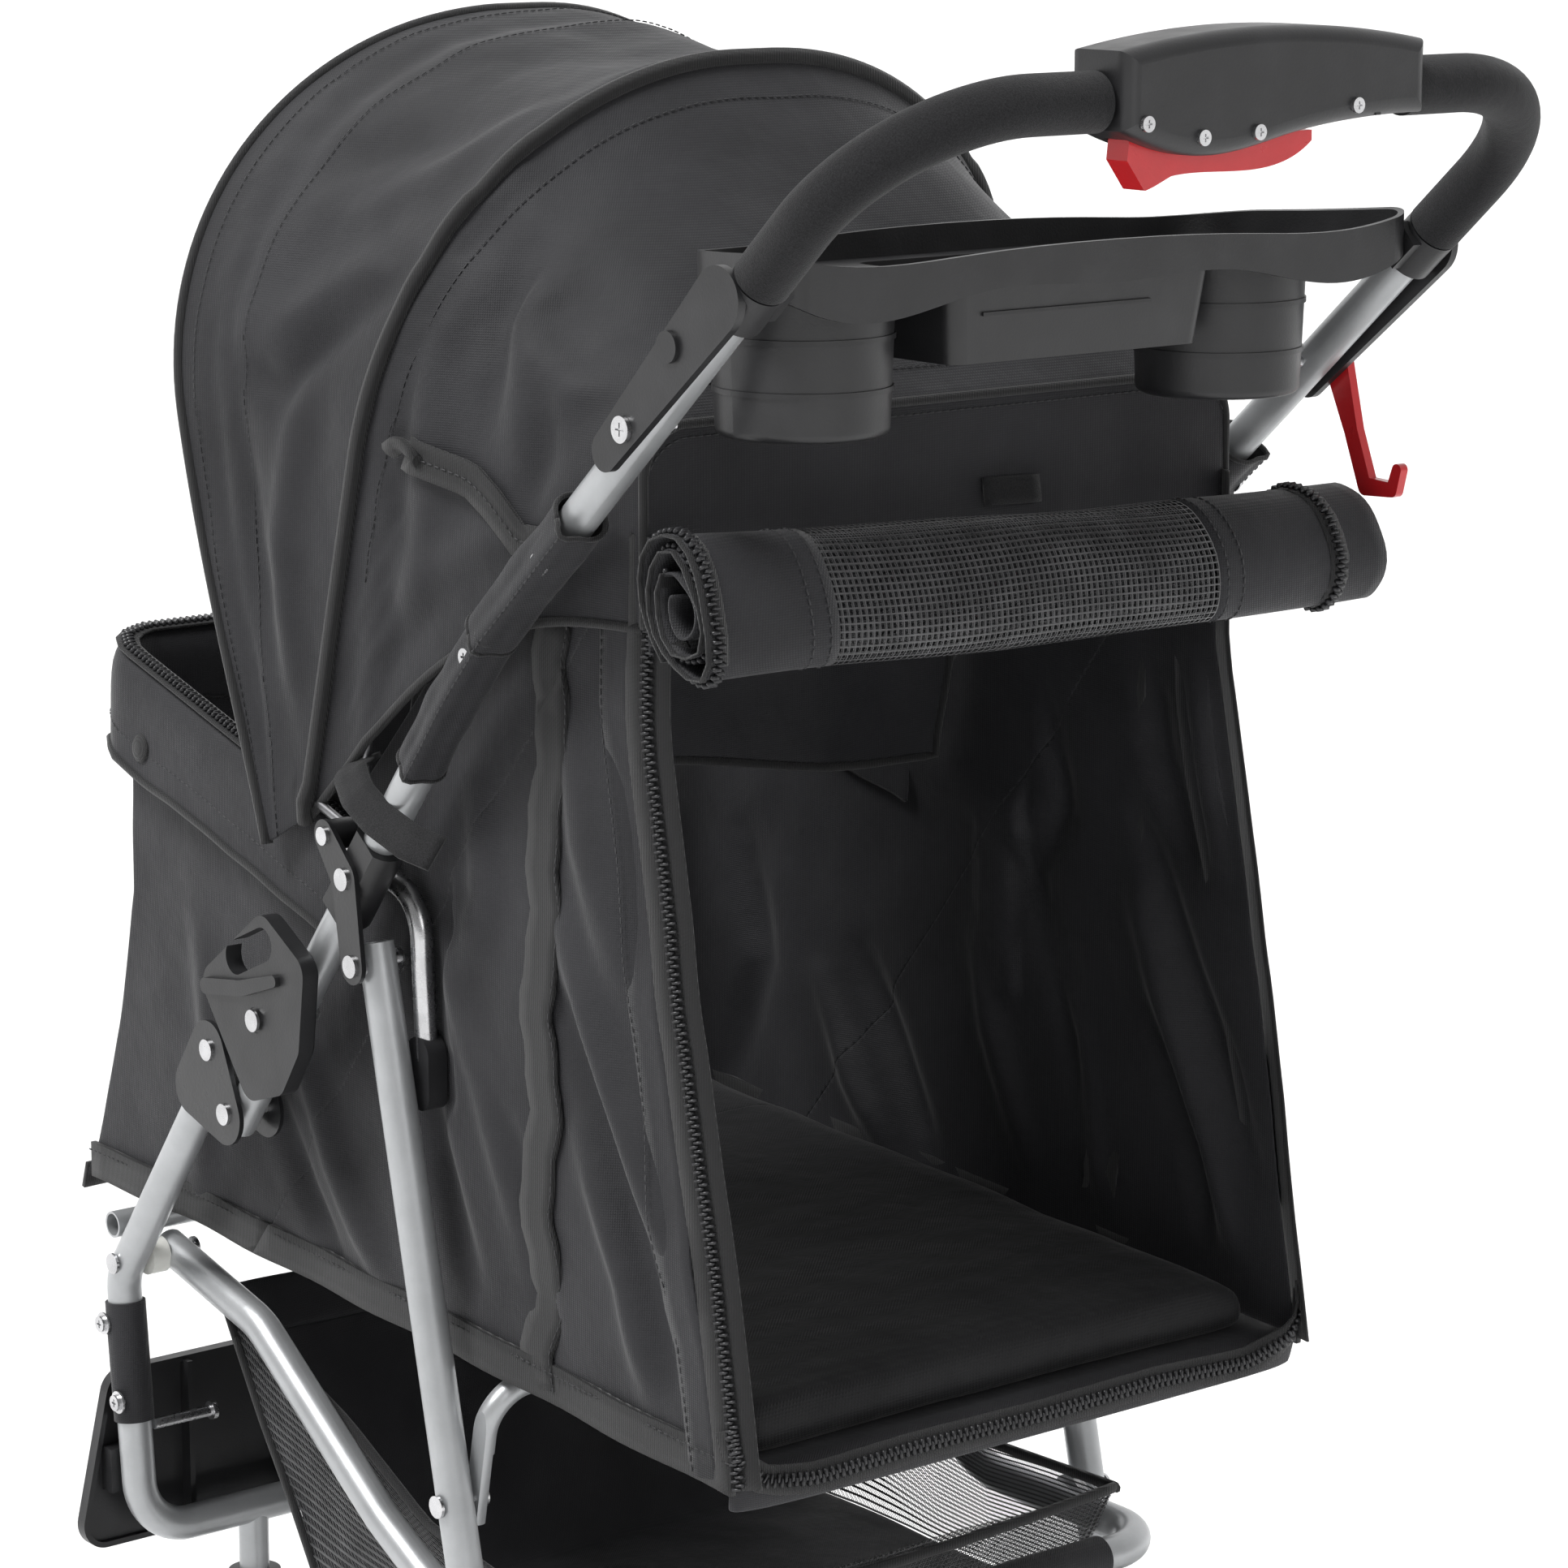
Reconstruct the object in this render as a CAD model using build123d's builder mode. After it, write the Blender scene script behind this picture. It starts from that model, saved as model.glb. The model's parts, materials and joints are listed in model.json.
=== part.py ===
from build123d import *
from math import atan2, cos, degrees, radians, sin
import os

# A folding pet stroller in millimetres.
# +X is the stroller's own left, -Y is the way it travels, +Z is up, and the wheels stand on z = 0.
# Side-view points are (y, z) pairs; parts that sit on both sides are made on the left and mirrored.

# Driving dimensions: tubes
tube_r = 9.0
tube_wall = 1.2
side_x = 200.0
rear_leg_x = 197.0
rail_x = 172.0
rim_x = 181.9
rim_r = 5.5
rivet_r = 3.0
fit = 0.05
rivet_hole = rivet_r + fit

# Driving dimensions: the folding linkage, as side-view points
fold_pivot = (-155.0, 462.0)
rear_pivot = (-38.0, 560.0)
rail_pivot = (-272.0, 355.7)
canopy_pivot = (-60.0, 620.0)
handle_bend = (55.0, 726.0)
handle_top = (345.0, 982.6)
front_leg_top = (-163.0, 501.0)
front_leg_knee = (-279.0, 346.4)
front_cross = (-266.0, 207.0)
rear_axle_at = (74.0, 70.0)
rail_rear = (118.0, 229.0)

# Driving dimensions: wheels
wheel_r = 70.0
wheel_width = 28.0
tyre_depth = 15.0
caster_x = 131.5
caster_trail = 30.0
rear_wheel_x = 225.0
rear_axle_r = 6.0
front_axle_r = 4.0

# Driving dimensions: soft goods
cabin_x = 176.0
cloth = 3.5
floor_front = (-345.0, 385.3)
floor_rear = (215.0, 359.3)
floor_board = 4.0
pad_thickness = 22.0
basket_x = 160.0
basket_cloth = 2.5
roll_at = (210.0, 764.0)
roll_r = 32.0

# Driving dimensions: handle housing and tray
housing_x = 88.0
housing_depth = 38.0
housing_wall = 2.5
foam_r = 13.0
foam_start = 276.4
tray_x = 188.0
tray_rear_y = 262.0
tray_corner_r = 14.0
tray_front_r = 46.0
deck_z = 898.0
deck_thickness = 4.0
cup_at = (125.0, 196.0)
cup_bore = 36.5
cup_wall = 4.5
cup_bottom = 832.0
box_x = 78.0
box_y = (165.0, 242.0)
box_bottom = 862.0
arm_inner_x = 210.0
arm_outer_x = 214.0

os.makedirs("parts", exist_ok=True)


def save(piece, name):
    """Label a finished piece and write it as one STEP file."""
    piece.part.label = name
    export_step(piece.part, f"parts/{name}.step")


def direction(start, end):
    """Unit vector between two side-view points."""
    span = ((end[0] - start[0]) ** 2 + (end[1] - start[1]) ** 2) ** 0.5
    return ((end[0] - start[0]) / span, (end[1] - start[1]) / span)


def travel(start, way, distance, aside=0.0):
    """Side-view point a distance along a direction, and aside towards its right-hand side."""
    y = start[0] + way[0] * distance + way[1] * aside
    z = start[1] + way[1] * distance - way[0] * aside
    return (y, z)


def tube(points, bends, radius, wall=0.0, mode=Mode.ADD):
    """Round tube or rod along a path with filleted corners."""
    with BuildLine() as route:
        if bends:
            FilletPolyline(*points, radius=bends)
        else:
            Polyline(*points)
    with BuildSketch(Plane(origin=route.line @ 0, z_dir=route.line % 0)) as ring:
        Circle(radius)
        if wall:
            Circle(radius - wall, mode=Mode.SUBTRACT)
    sweep(ring.sketch, path=route.line, mode=mode)


def pin(at, radius, x_from, x_to, mode=Mode.ADD):
    """Cylinder along X through a side-view point."""
    with Locations(Location(((x_from + x_to) / 2, at[0], at[1]), (0, 90, 0))):
        Cylinder(radius, abs(x_to - x_from), mode=mode)


def rivet(at, x_from, x_to, head=5.5):
    """Rivet along X with a low head at each end."""
    pin(at, rivet_r, x_from, x_to)
    pin(at, head, x_from - 1.5, x_from)
    pin(at, head, x_to, x_to + 1.5)


def screw(at, shank, head, x_from, x_to):
    """Screw along X whose cross-recessed head stands outside x_to."""
    pin(at, shank, x_from, x_to)
    pin(at, head, x_to, x_to + 2.2)
    for turn in (0, 90):
        with Locations(Location((x_to + 1.9, at[0], at[1]), (turn, 0, 0))):
            Box(1.4, head, 0.9, mode=Mode.SUBTRACT)


def lobes(circles, x_from, x_to, mode=Mode.ADD):
    """Flat plate between two x planes, drawn tight round circles given as (point, radius)."""
    with BuildSketch(Plane.YZ.offset(x_from)) as outline:
        for at, radius in circles:
            with Locations(at):
                Circle(radius)
        make_hull()
    extrude(outline.sketch, amount=x_to - x_from, mode=mode)


def panel(points, x_from, x_to, mode=Mode.ADD):
    """Flat panel between two x planes with a straight-edged side view."""
    with BuildSketch(Plane.YZ.offset(x_from)) as outline:
        with BuildLine():
            Polyline(*points, close=True)
        make_face()
    extrude(outline.sketch, amount=x_to - x_from, mode=mode)


def both_ends(points):
    """A left-hand path of 3-D points carried on through its mirror image."""
    return points + [(-x, y, z) for x, y, z in reversed(points)]


def at_side(x, point):
    """3-D point on the plane x for a side-view point."""
    return (x, point[0], point[1])


# Places that follow from the driving dimensions
lower_way = direction(fold_pivot, handle_bend)
upper_way = direction(handle_bend, handle_top)
front_way = direction(front_leg_knee, front_leg_top)
shin_way = direction(front_leg_knee, front_cross)
rear_way = direction(rear_pivot, rear_axle_at)
handle_foot = travel(fold_pivot, lower_way, -10.0)
latch_at = travel(fold_pivot, lower_way, 76.0)
mount_at = travel(fold_pivot, lower_way, 178.3)
sleeve_screws_at = [travel(handle_bend, upper_way, d, 6.0) for d in (3.0, 79.0)]
tray_bolt_at = travel(handle_bend, upper_way, 172.0)
foam_at = travel(handle_bend, upper_way, foam_start)
collar_at = travel(handle_bend, upper_way, foam_start - 12.0)
bracket_rivet = travel(front_leg_top, front_way, -11.0)
leg_screws_at = [travel(front_leg_knee, shin_way, 25.0, 4.5), travel(front_leg_knee, shin_way, 66.0, -4.5)]
rear_leg_top = travel(rear_pivot, rear_way, -9.5)
rear_leg_foot = travel(rear_axle_at, rear_way, 12.0)
open_pivot = travel(rear_pivot, rear_way, (rear_pivot[1] - rail_rear[1]) / -rear_way[1])
floor_rivet = travel(rear_pivot, rear_way, 262.0)
floor_slope = (floor_rear[1] - floor_front[1]) / (floor_rear[0] - floor_front[0])
upper_tilt = degrees(atan2(upper_way[1], upper_way[0]))


def floor_z(y, above=0.0):
    """Height of the sloping cabin floor's underside at y."""
    return floor_front[1] + floor_slope * (y - floor_front[0]) + above


# --- Handle ---------------------------------------------------------------------------------------

handle_path = both_ends([
    at_side(side_x, handle_foot),
    at_side(side_x, handle_bend),
    at_side(side_x, handle_top),
])
with BuildPart() as handle_tube:
    tube(handle_path, [120, 75, 75, 120], tube_r, tube_wall)
    for hole in (fold_pivot, latch_at, mount_at, tray_bolt_at):
        pin(hole, rivet_hole, -side_x - 20, side_x + 20, mode=Mode.SUBTRACT)
    for hole in sleeve_screws_at:
        pin(hole, 2 + fit, -side_x - 20, side_x + 20, mode=Mode.SUBTRACT)
save(handle_tube, "handle_tube")

foam_path = [
    at_side(side_x, foam_at),
    at_side(side_x, handle_top),
    at_side(housing_x + 2, handle_top),
]
with BuildPart() as grip_foams:
    tube(foam_path, [75], foam_r, foam_r - tube_r - fit)
    mirror(about=Plane.YZ)
save(grip_foams, "grip_foams")

housing_plane = Plane.XZ.offset(-handle_top[0])
trigger_span = (-30.0, 77.0)
housing_screws_at = [(78, 974), (46, 967), (14, 968), (-44, 977)]


def housing_outline(inset):
    """Crescent body with an arched top and a belly towards its left end."""
    end = housing_x - inset
    low_points = [(end, 971), (70, 964), (44, 959), (15, 961), (-10, 966), (-40, 970), (-end, 972)]
    with BuildSketch(housing_plane) as outline:
        with BuildLine():
            ThreePointArc((-end, 1004 - inset), (0, 1012 - inset), (end, 1004 - inset))
            Line((end, 1004 - inset), (end, 971 + inset))
            Spline([(x, z + inset) for x, z in low_points])
            Line((-end, 972 + inset), (-end, 1004 - inset))
        make_face()
    return outline.sketch


for half, keep in (("housing_front", Keep.TOP), ("housing_rear", Keep.BOTTOM)):
    with BuildPart() as housing:
        extrude(housing_outline(0), amount=housing_depth / 2, both=True)
        broad_faces = housing.faces().filter_by(Axis.Y)
        fillet(broad_faces.edges(), 7)
        cavity = housing_depth / 2 - housing_wall
        extrude(housing_outline(housing_wall), amount=cavity, both=True, mode=Mode.SUBTRACT)
        for rib_x in (-60, 60):
            with Locations((rib_x, handle_top[0], 988)):
                Box(3, 2 * cavity, 32)
        for x, z in housing_screws_at:
            with Locations(Location((x, handle_top[0] + cavity - 4, z), (90, 0, 0))):
                Cylinder(3.4, 8)
            with Locations(Location((x, handle_top[0] + cavity, z), (90, 0, 0))):
                Cylinder(1.5 + fit, 16, mode=Mode.SUBTRACT)
        pin(handle_top, tube_r + fit, -100, 100, mode=Mode.SUBTRACT)
        slot_x = sum(trigger_span) / 2
        slot_width = trigger_span[1] - trigger_span[0] + 2
        with Locations((slot_x, handle_top[0], 957)):
            Box(slot_width, 14, 32, mode=Mode.SUBTRACT)
        split(bisect_by=housing_plane, keep=keep)
    save(housing, half)

with BuildPart() as housing_screws:
    for x, z in housing_screws_at:
        with Locations(Location((x, handle_top[0] + housing_depth / 2 - 4, z), (90, 0, 0))):
            Cylinder(1.5, 8)
        with Locations(Location((x, handle_top[0] + housing_depth / 2 + 0.9, z), (90, 0, 0))):
            Cylinder(3.4, 1.8)
        with Locations((x, handle_top[0] + housing_depth / 2 + 1.8, z)):
            Box(3.4, 1.6, 0.8, mode=Mode.SUBTRACT)
            Box(0.8, 1.6, 3.4, mode=Mode.SUBTRACT)
save(housing_screws, "housing_screws")

with BuildPart() as release_trigger:
    with BuildSketch(housing_plane) as blade:
        with BuildLine():
            Polyline((-30, 966.5), (76, 966.5), (77, 958), (67, 945), (62, 946.5), (52, 950.5))
            Spline((52, 950.5), (20, 951), (-22, 957), (-30, 962))
            Line((-30, 962), (-30, 966.5))
        make_face()
    extrude(amount=6.5, both=True)
    fillet(release_trigger.edges().filter_by(Axis.Y).sort_by(Axis.Z)[0], 1.2)
save(release_trigger, "release_trigger")

# --- Tray -----------------------------------------------------------------------------------------

cup_taper = 2.5
box_centre_y = sum(box_y) / 2
box_depth = box_y[1] - box_y[0]


def tray_plan(height, inset):
    """Plan of the tray: round ahead of each cup, with small rear corners."""
    with BuildSketch(Plane.XY.offset(height)) as plan:
        for side in (-1, 1):
            with Locations((side * cup_at[0], cup_at[1])):
                Circle(tray_front_r - inset)
            with Locations((side * (tray_x - tray_corner_r), tray_rear_y - tray_corner_r)):
                Circle(tray_corner_r - inset)
        make_hull()
    return plan.sketch


def box_plan(height, inset):
    """Plan of the tray's box at a height."""
    with BuildSketch(Plane.XY.offset(height)) as plan:
        with Locations((0, box_centre_y)):
            RectangleRounded(2 * box_x - 2 * inset, box_depth - 2 * inset, 8)
    return plan.sketch


with BuildPart() as tray:
    extrude(tray_plan(deck_z - 14, 0), amount=36)
    extrude(tray_plan(deck_z - 14, 3), amount=36, mode=Mode.SUBTRACT)
    with BuildSketch(Plane.XZ) as wave:
        with BuildLine():
            upper = Spline((-190, 919), (-140, 911), (-80, 913), (0, 915), (80, 913), (140, 911), (190, 919))
            lower = Spline((-190, 902), (-125, 888), (-75, 897), (0, 896), (75, 897), (125, 888), (190, 902))
            Line(upper @ 0, lower @ 0)
            Line(upper @ 1, lower @ 1)
        make_face()
    extrude(wave.sketch, amount=-400, mode=Mode.INTERSECT)
    extrude(tray_plan(deck_z, 1), amount=deck_thickness)
    for x in (-cup_at[0], cup_at[0]):
        with BuildSketch(Plane.XY.offset(cup_bottom)) as cup_foot:
            with Locations((x, cup_at[1])):
                Circle(cup_bore + cup_wall - cup_taper)
        with BuildSketch(Plane.XY.offset(deck_z)) as cup_mouth:
            with Locations((x, cup_at[1])):
                Circle(cup_bore + cup_wall)
        loft([cup_foot.sketch, cup_mouth.sketch])
    fillet(tray.edges().filter_by(GeomType.CIRCLE).group_by(Axis.Z)[0], 4)
    for x in (-cup_at[0], cup_at[0]):
        for rib_z in (853, 876):
            with Locations((x, cup_at[1], rib_z)):
                Cylinder(cup_bore + cup_wall + 0.8 - cup_taper * (deck_z - rib_z) / (deck_z - cup_bottom), 2.4)
        with Locations((x, cup_at[1], (cup_bottom + 3 + deck_z + 10) / 2)):
            Cylinder(cup_bore, deck_z + 7 - cup_bottom, mode=Mode.SUBTRACT)
    loft([box_plan(box_bottom, 4), box_plan(deck_z, 0)])
    with Locations((10, box_y[1] - 1.4, 884)):
        Box(100, 2, 1.6)
    loft([box_plan(box_bottom + 3, 6.5), box_plan(deck_z + 10, 3)], mode=Mode.SUBTRACT)
    for side in (-1, 1):
        with Locations(Location((side * side_x, collar_at[0], collar_at[1]), (upper_tilt - 90, 0, 0))):
            Cylinder(12.8, 22)
        with Locations(Location((side * (tray_x + 2), collar_at[0], collar_at[1]), (upper_tilt, 0, 0))):
            Box(12, 18, 14)
        inner, outer = sorted((side * arm_inner_x, side * arm_outer_x))
        lobes([(travel(collar_at, upper_way, -3.5, -2), 15), (travel(tray_bolt_at, upper_way, -18, -1), 9)], inner, outer)
        pin(travel(tray_bolt_at, upper_way, 50, -7), 7, side * arm_inner_x, side * (arm_outer_x + 2))
        pin(tray_bolt_at, rivet_hole, inner, outer, mode=Mode.SUBTRACT)
        with Locations(Location((side * side_x, collar_at[0], collar_at[1]), (upper_tilt - 90, 0, 0))):
            Cylinder(tube_r + fit, 60, mode=Mode.SUBTRACT)
        with Locations((side * (arm_outer_x + 7), collar_at[0], collar_at[1])):
            Box(10, 60, 60, mode=Mode.SUBTRACT)
save(tray, "tray")

with BuildPart() as handle_screws:
    screw(tray_bolt_at, rivet_r, 6, 187, arm_outer_x + 0.1)
    for at in sleeve_screws_at:
        screw(at, 2, 4.2, 196, 212)
        pin(at, 6, 211, 212)
    mirror(about=Plane.YZ)
    pin(tray_bolt_at, 7.5, -224.5, -arm_outer_x - 0.1, mode=Mode.SUBTRACT)
    pin(tray_bolt_at, rivet_r, -220, -187)
    pin(tray_bolt_at, 6, -222, -220)
save(handle_screws, "handle_screws")

with BuildPart() as storage_hook:
    hook_tip = (206, 780)
    lobes([(tray_bolt_at, 8), ((tray_bolt_at[0] + 12, 806), 4.5)], -219.4, -214.6)
    lobes([((tray_bolt_at[0] + 12, 806), 4.5), (hook_tip, 4.5)], -219.4, -214.6)
    lobes([(hook_tip, 4.5), ((224, 780), 3.5)], -219.4, -214.6)
    lobes([((224, 780), 3.5), ((227, 790), 3.0)], -219.4, -214.6)
    pin(tray_bolt_at, rivet_hole, -225, -210, mode=Mode.SUBTRACT)
save(storage_hook, "storage_hook")

# --- Link plates, canopy pivots and their fastenings ----------------------------------------------

with BuildPart() as tube_mounts:
    block = [at_side(side_x, travel(mount_at, lower_way, d)) for d in (-25, 25)]
    tube(block, [], 13)
    tube(block, [], tube_r + fit, mode=Mode.SUBTRACT)
    pin(mount_at, rivet_hole, 180, 220, mode=Mode.SUBTRACT)
    for x in (side_x + 9.9 + 10, rim_x + rim_r + 0.4 - 10):
        with Locations(at_side(x, mount_at)):
            Box(20, 90, 90, mode=Mode.SUBTRACT)
    mirror(about=Plane.YZ)
save(tube_mounts, "tube_mounts")

with BuildPart() as link_plates:
    lobes([(canopy_pivot, 8), (mount_at, 10)], 210, 212.5)
    lobes([(mount_at, 10), (rear_pivot, 9)], 210, 212.5)
    for at in (canopy_pivot, mount_at, rear_pivot):
        pin(at, rivet_hole, 205, 215, mode=Mode.SUBTRACT)
    mirror(about=Plane.YZ)
save(link_plates, "link_plates")

with BuildPart() as pivot_rivets:
    pin(mount_at, rivet_r, 188, 212.5)
    pin(mount_at, 5.5, 212.5, 214)
    rivet(latch_at, 190.5, 224)
    rivet(canopy_pivot, 187, 212.5, head=4.5)
    rivet(rear_pivot, 186.5, 212.5)
    pin(rear_pivot, 5.5, 206.4, 210)
    mirror(about=Plane.YZ)
save(pivot_rivets, "pivot_rivets")

with BuildPart() as canopy_bushes:
    pin(canopy_pivot, 7.5, 197.7, 210)
    pin(canopy_pivot, rivet_hole, 195, 215, mode=Mode.SUBTRACT)
    mirror(about=Plane.YZ)
save(canopy_bushes, "canopy_bushes")

for word, side in (("left", 1), ("right", -1)):
    with BuildPart() as latch_lever:
        with BuildSketch(Plane.YZ.offset(213.2)) as loop:
            with BuildLine():
                FilletPolyline((-101, 577), (-64, 556), (-70, 512), (-86, 488), (-117, 478), (-160, 534),
                               radius=11, close=True)
            make_face()
            with Locations(Location((-113, 555), (0, 0, 24))):
                SlotOverall(44, 17, mode=Mode.SUBTRACT)
        extrude(amount=9.5)
        lobes([((-150, 531), 4), ((-117, 536), 4)], 213.2, 225.5)
        lobes([((-117, 536), 4), ((-88, 545), 3)], 213.2, 225.5)
        fillet(latch_lever.faces().filter_by(Axis.X).sort_by(Axis.X)[0].edges(), 1.2)
        pin(latch_at, rivet_hole, 205, 230, mode=Mode.SUBTRACT)
        pin(latch_at, 6.5, 222.4, 230, mode=Mode.SUBTRACT)
        if side < 0:
            mirror(about=Plane.YZ, mode=Mode.REPLACE)
    save(latch_lever, f"latch_lever_{word}")

# --- Cabin rim and canopy bows --------------------------------------------------------------------

rim_path = both_ends([(rim_x, -20, 513), (rim_x, -24, 590), (rim_x, -305, 672)])
with BuildPart() as rim_tube:
    tube(rim_path, [25, 28, 28, 25], rim_r, 1.0)
save(rim_tube, "rim_tube")

with BuildPart() as rim_end_clips:
    lobes([((-20, 516), 9), ((-18, 496), 7)], 176.6, 187.4)
    pin((-18, 496), 4, 176.6, 187.4)
    tube([(rim_x, -20, 513), (rim_x, -24, 590)], [], rim_r + fit, mode=Mode.SUBTRACT)
    mirror(about=Plane.YZ)
save(rim_end_clips, "rim_end_clips")

bow_r = 2.2
rear_bow_x = 190.0
front_bow_x = 195.2
rear_bow_way = (cos(radians(82.5)), sin(radians(82.5)))
rear_bow_top = travel(canopy_pivot, rear_bow_way, 363)
front_bow_base = (-134.0, 642.0)
front_bow_top = (-188.0, 992.0)
front_bow_way = direction(front_bow_base, front_bow_top)

with BuildPart() as canopy_bow_rear:
    eye_edge = travel(canopy_pivot, rear_bow_way, 6)
    tube(both_ends([at_side(rear_bow_x, eye_edge), at_side(rear_bow_x, rear_bow_top)]), [175, 175], bow_r)
    for side in (-1, 1):
        pin(canopy_pivot, 7, side * (rear_bow_x - 1.8), side * (rear_bow_x + 1.8))
        pin(canopy_pivot, rivet_hole, side * (rear_bow_x - 4), side * (rear_bow_x + 4), mode=Mode.SUBTRACT)
save(canopy_bow_rear, "canopy_bow_rear")

with BuildPart() as canopy_bow_front:
    eye_edge = travel(canopy_pivot, direction(canopy_pivot, front_bow_base), 6)
    corners = [eye_edge, front_bow_base, front_bow_top]
    tube(both_ends([at_side(front_bow_x, at) for at in corners]), [30, 180, 180, 30], bow_r)
    for side in (-1, 1):
        pin(canopy_pivot, 7, side * (front_bow_x - 1.8), side * (front_bow_x + 1.8))
        pin(canopy_pivot, rivet_hole, side * (front_bow_x - 4), side * (front_bow_x + 4), mode=Mode.SUBTRACT)
save(canopy_bow_front, "canopy_bow_front")


def arch(base, top, half_width, shoulder):
    """Face of an arch standing on a side-view base point and reaching a side-view top point."""
    way = direction(base, top)
    height = ((top[0] - base[0]) ** 2 + (top[1] - base[1]) ** 2) ** 0.5
    plane = Plane(origin=at_side(0, base), x_dir=(1, 0, 0), z_dir=(0, -way[1], way[0]))
    with BuildSketch(plane) as face:
        with BuildLine():
            FilletPolyline((-half_width, 0), (-half_width, height), (half_width, height), (half_width, 0),
                           radius=shoulder)
            Line((half_width, 0), (-half_width, 0))
        make_face()
    return face.sketch


def hood(first, last, skin=1.6):
    """Arched cloth shell between two arches given as (base, top, half width, shoulder)."""
    outer = [arch(*first), arch(*last)]
    loft(outer)
    inner = []
    for base, top, half_width, shoulder in (first, last):
        lowered = travel(top, direction(base, top), -skin)
        inner.append(arch(base, lowered, half_width - skin, shoulder - skin))
    loft(inner, mode=Mode.SUBTRACT)


front_arch = (travel(front_bow_base, front_bow_way, 8), travel(front_bow_top, front_bow_way, -4.5), 187.4, 174)
rear_arch = (travel(canopy_pivot, rear_bow_way, 30), travel(rear_bow_top, rear_bow_way, -4.5), 185.6, 170)
with BuildPart() as canopy_fabric:
    hood(rear_arch, front_arch)
save(canopy_fabric, "canopy_fabric")

hood_front = (travel(canopy_pivot, rear_bow_way, 118), travel(rear_bow_top, rear_bow_way, -8), 182, 166)
hood_front = tuple((at[0] + 3, at[1]) for at in hood_front[:2]) + hood_front[2:]
with BuildPart() as hood_fabric:
    hood(hood_front, ((147, 742), (147, 828), 172, 60))
save(hood_fabric, "hood_fabric")

# --- Cabin, basket and their fabric ---------------------------------------------------------------

with BuildPart() as cabin_header:
    extrude(arch((152, 744), (152, 826), 170, 58), amount=4)
save(cabin_header, "cabin_header")

with BuildPart() as cabin_floor:
    board = [floor_front, floor_rear, (floor_rear[0], floor_rear[1] + floor_board),
             (floor_front[0], floor_front[1] + floor_board)]
    panel(board, -cabin_x + cloth + 0.5, cabin_x - cloth - 0.5)
save(cabin_floor, "cabin_floor")

with BuildPart() as seat_pad:
    pad_low = floor_board + 0.6
    pad_points = [(y, floor_z(y, lift)) for y, lift in
                  ((-334, pad_low), (205, pad_low), (205, pad_low + pad_thickness), (-334, pad_low + pad_thickness))]
    panel(pad_points, -165, 165)
    fillet(seat_pad.edges(), 8)
save(seat_pad, "seat_pad")

side_outline = [
    (-342, floor_z(-342)), (-340, 405), (-293, 547), (-296, 650), (-60, 614),
    (126, 734), (152, 734), (172, 640), (192, 500), (212, floor_z(212)),
]
for word, side in (("left", 1), ("right", -1)):
    with BuildPart() as cabin_side:
        inner, outer = sorted((side * (cabin_x - cloth), side * cabin_x))
        panel(side_outline, inner, outer)
    save(cabin_side, f"cabin_side_{word}")

with BuildPart() as cabin_front:
    front_outline = [
        (-366, 369), (-350, 395), (-298, 547), (-300.5, 660),
        (-296.9, 660), (-294.4, 546.6), (-346.5, 394), (-362, 369),
    ]
    panel(front_outline, -cabin_x + cloth + 0.5, cabin_x - cloth - 0.5)
save(cabin_front, "cabin_front")

with BuildPart() as door_roll:
    pin(roll_at, roll_r, -203, 203)
    fillet(door_roll.edges(), 6)
save(door_roll, "door_roll")

with BuildPart() as basket:
    panel([(-250, 338), (-150, 185), (60, 185), (100, 255)], -basket_x, basket_x)
    inner_x = basket_x - basket_cloth
    hollow = [(-260, 359), (-148.6, 185 + basket_cloth), (58.4, 185 + basket_cloth), (104, 267)]
    panel(hollow, -inner_x, inner_x, mode=Mode.SUBTRACT)
save(basket, "basket")

with BuildPart() as handle_sleeves:
    sleeve_path = [travel(handle_bend, lower_way, -80), handle_bend, travel(handle_bend, upper_way, 106)]
    tube([at_side(side_x, at) for at in sleeve_path], [120], 10.6, 10.6 - tube_r - fit)
    for at in sleeve_screws_at:
        pin(at, 2 + fit, 190, 215, mode=Mode.SUBTRACT)
    mirror(about=Plane.YZ)
save(handle_sleeves, "handle_sleeves")

# --- Front frame ----------------------------------------------------------------------------------

stem_foot_z = 172.0
front_path = both_ends([
    at_side(side_x, front_leg_top),
    at_side(side_x, front_leg_knee),
    at_side(side_x, front_cross),
])
with BuildPart() as front_frame_tube:
    tube(front_path, [25, 28, 28, 25], tube_r)
    for x in (-caster_x, caster_x):
        with Locations((x, front_cross[0], (front_cross[1] + stem_foot_z) / 2)):
            Cylinder(8, front_cross[1] - stem_foot_z)
    tube(front_path, [25, 28, 28, 25], tube_r - tube_wall, mode=Mode.SUBTRACT)
    for x in (-caster_x, caster_x):
        with Locations((x, front_cross[0], (front_cross[1] + stem_foot_z) / 2)):
            Cylinder(5.0, front_cross[1] - stem_foot_z, mode=Mode.SUBTRACT)
    for hole in (bracket_rivet, rail_pivot):
        pin(hole, rivet_hole, -side_x - 20, side_x + 20, mode=Mode.SUBTRACT)
    for hole in leg_screws_at:
        pin(hole, 2 + fit, -side_x - 20, side_x + 20, mode=Mode.SUBTRACT)
save(front_frame_tube, "front_frame_tube")

with BuildPart() as latch_brackets:
    for x_from, x_to in ((186.5, 188.5), (210, 212.5)):
        lobes([(bracket_rivet, 15), ((-187, 469), 14), ((-156, 461), 15)], x_from, x_to)
    for at in (bracket_rivet, fold_pivot):
        pin(at, rivet_hole, 180, 220, mode=Mode.SUBTRACT)
    mirror(about=Plane.YZ)
save(latch_brackets, "latch_brackets")

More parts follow.
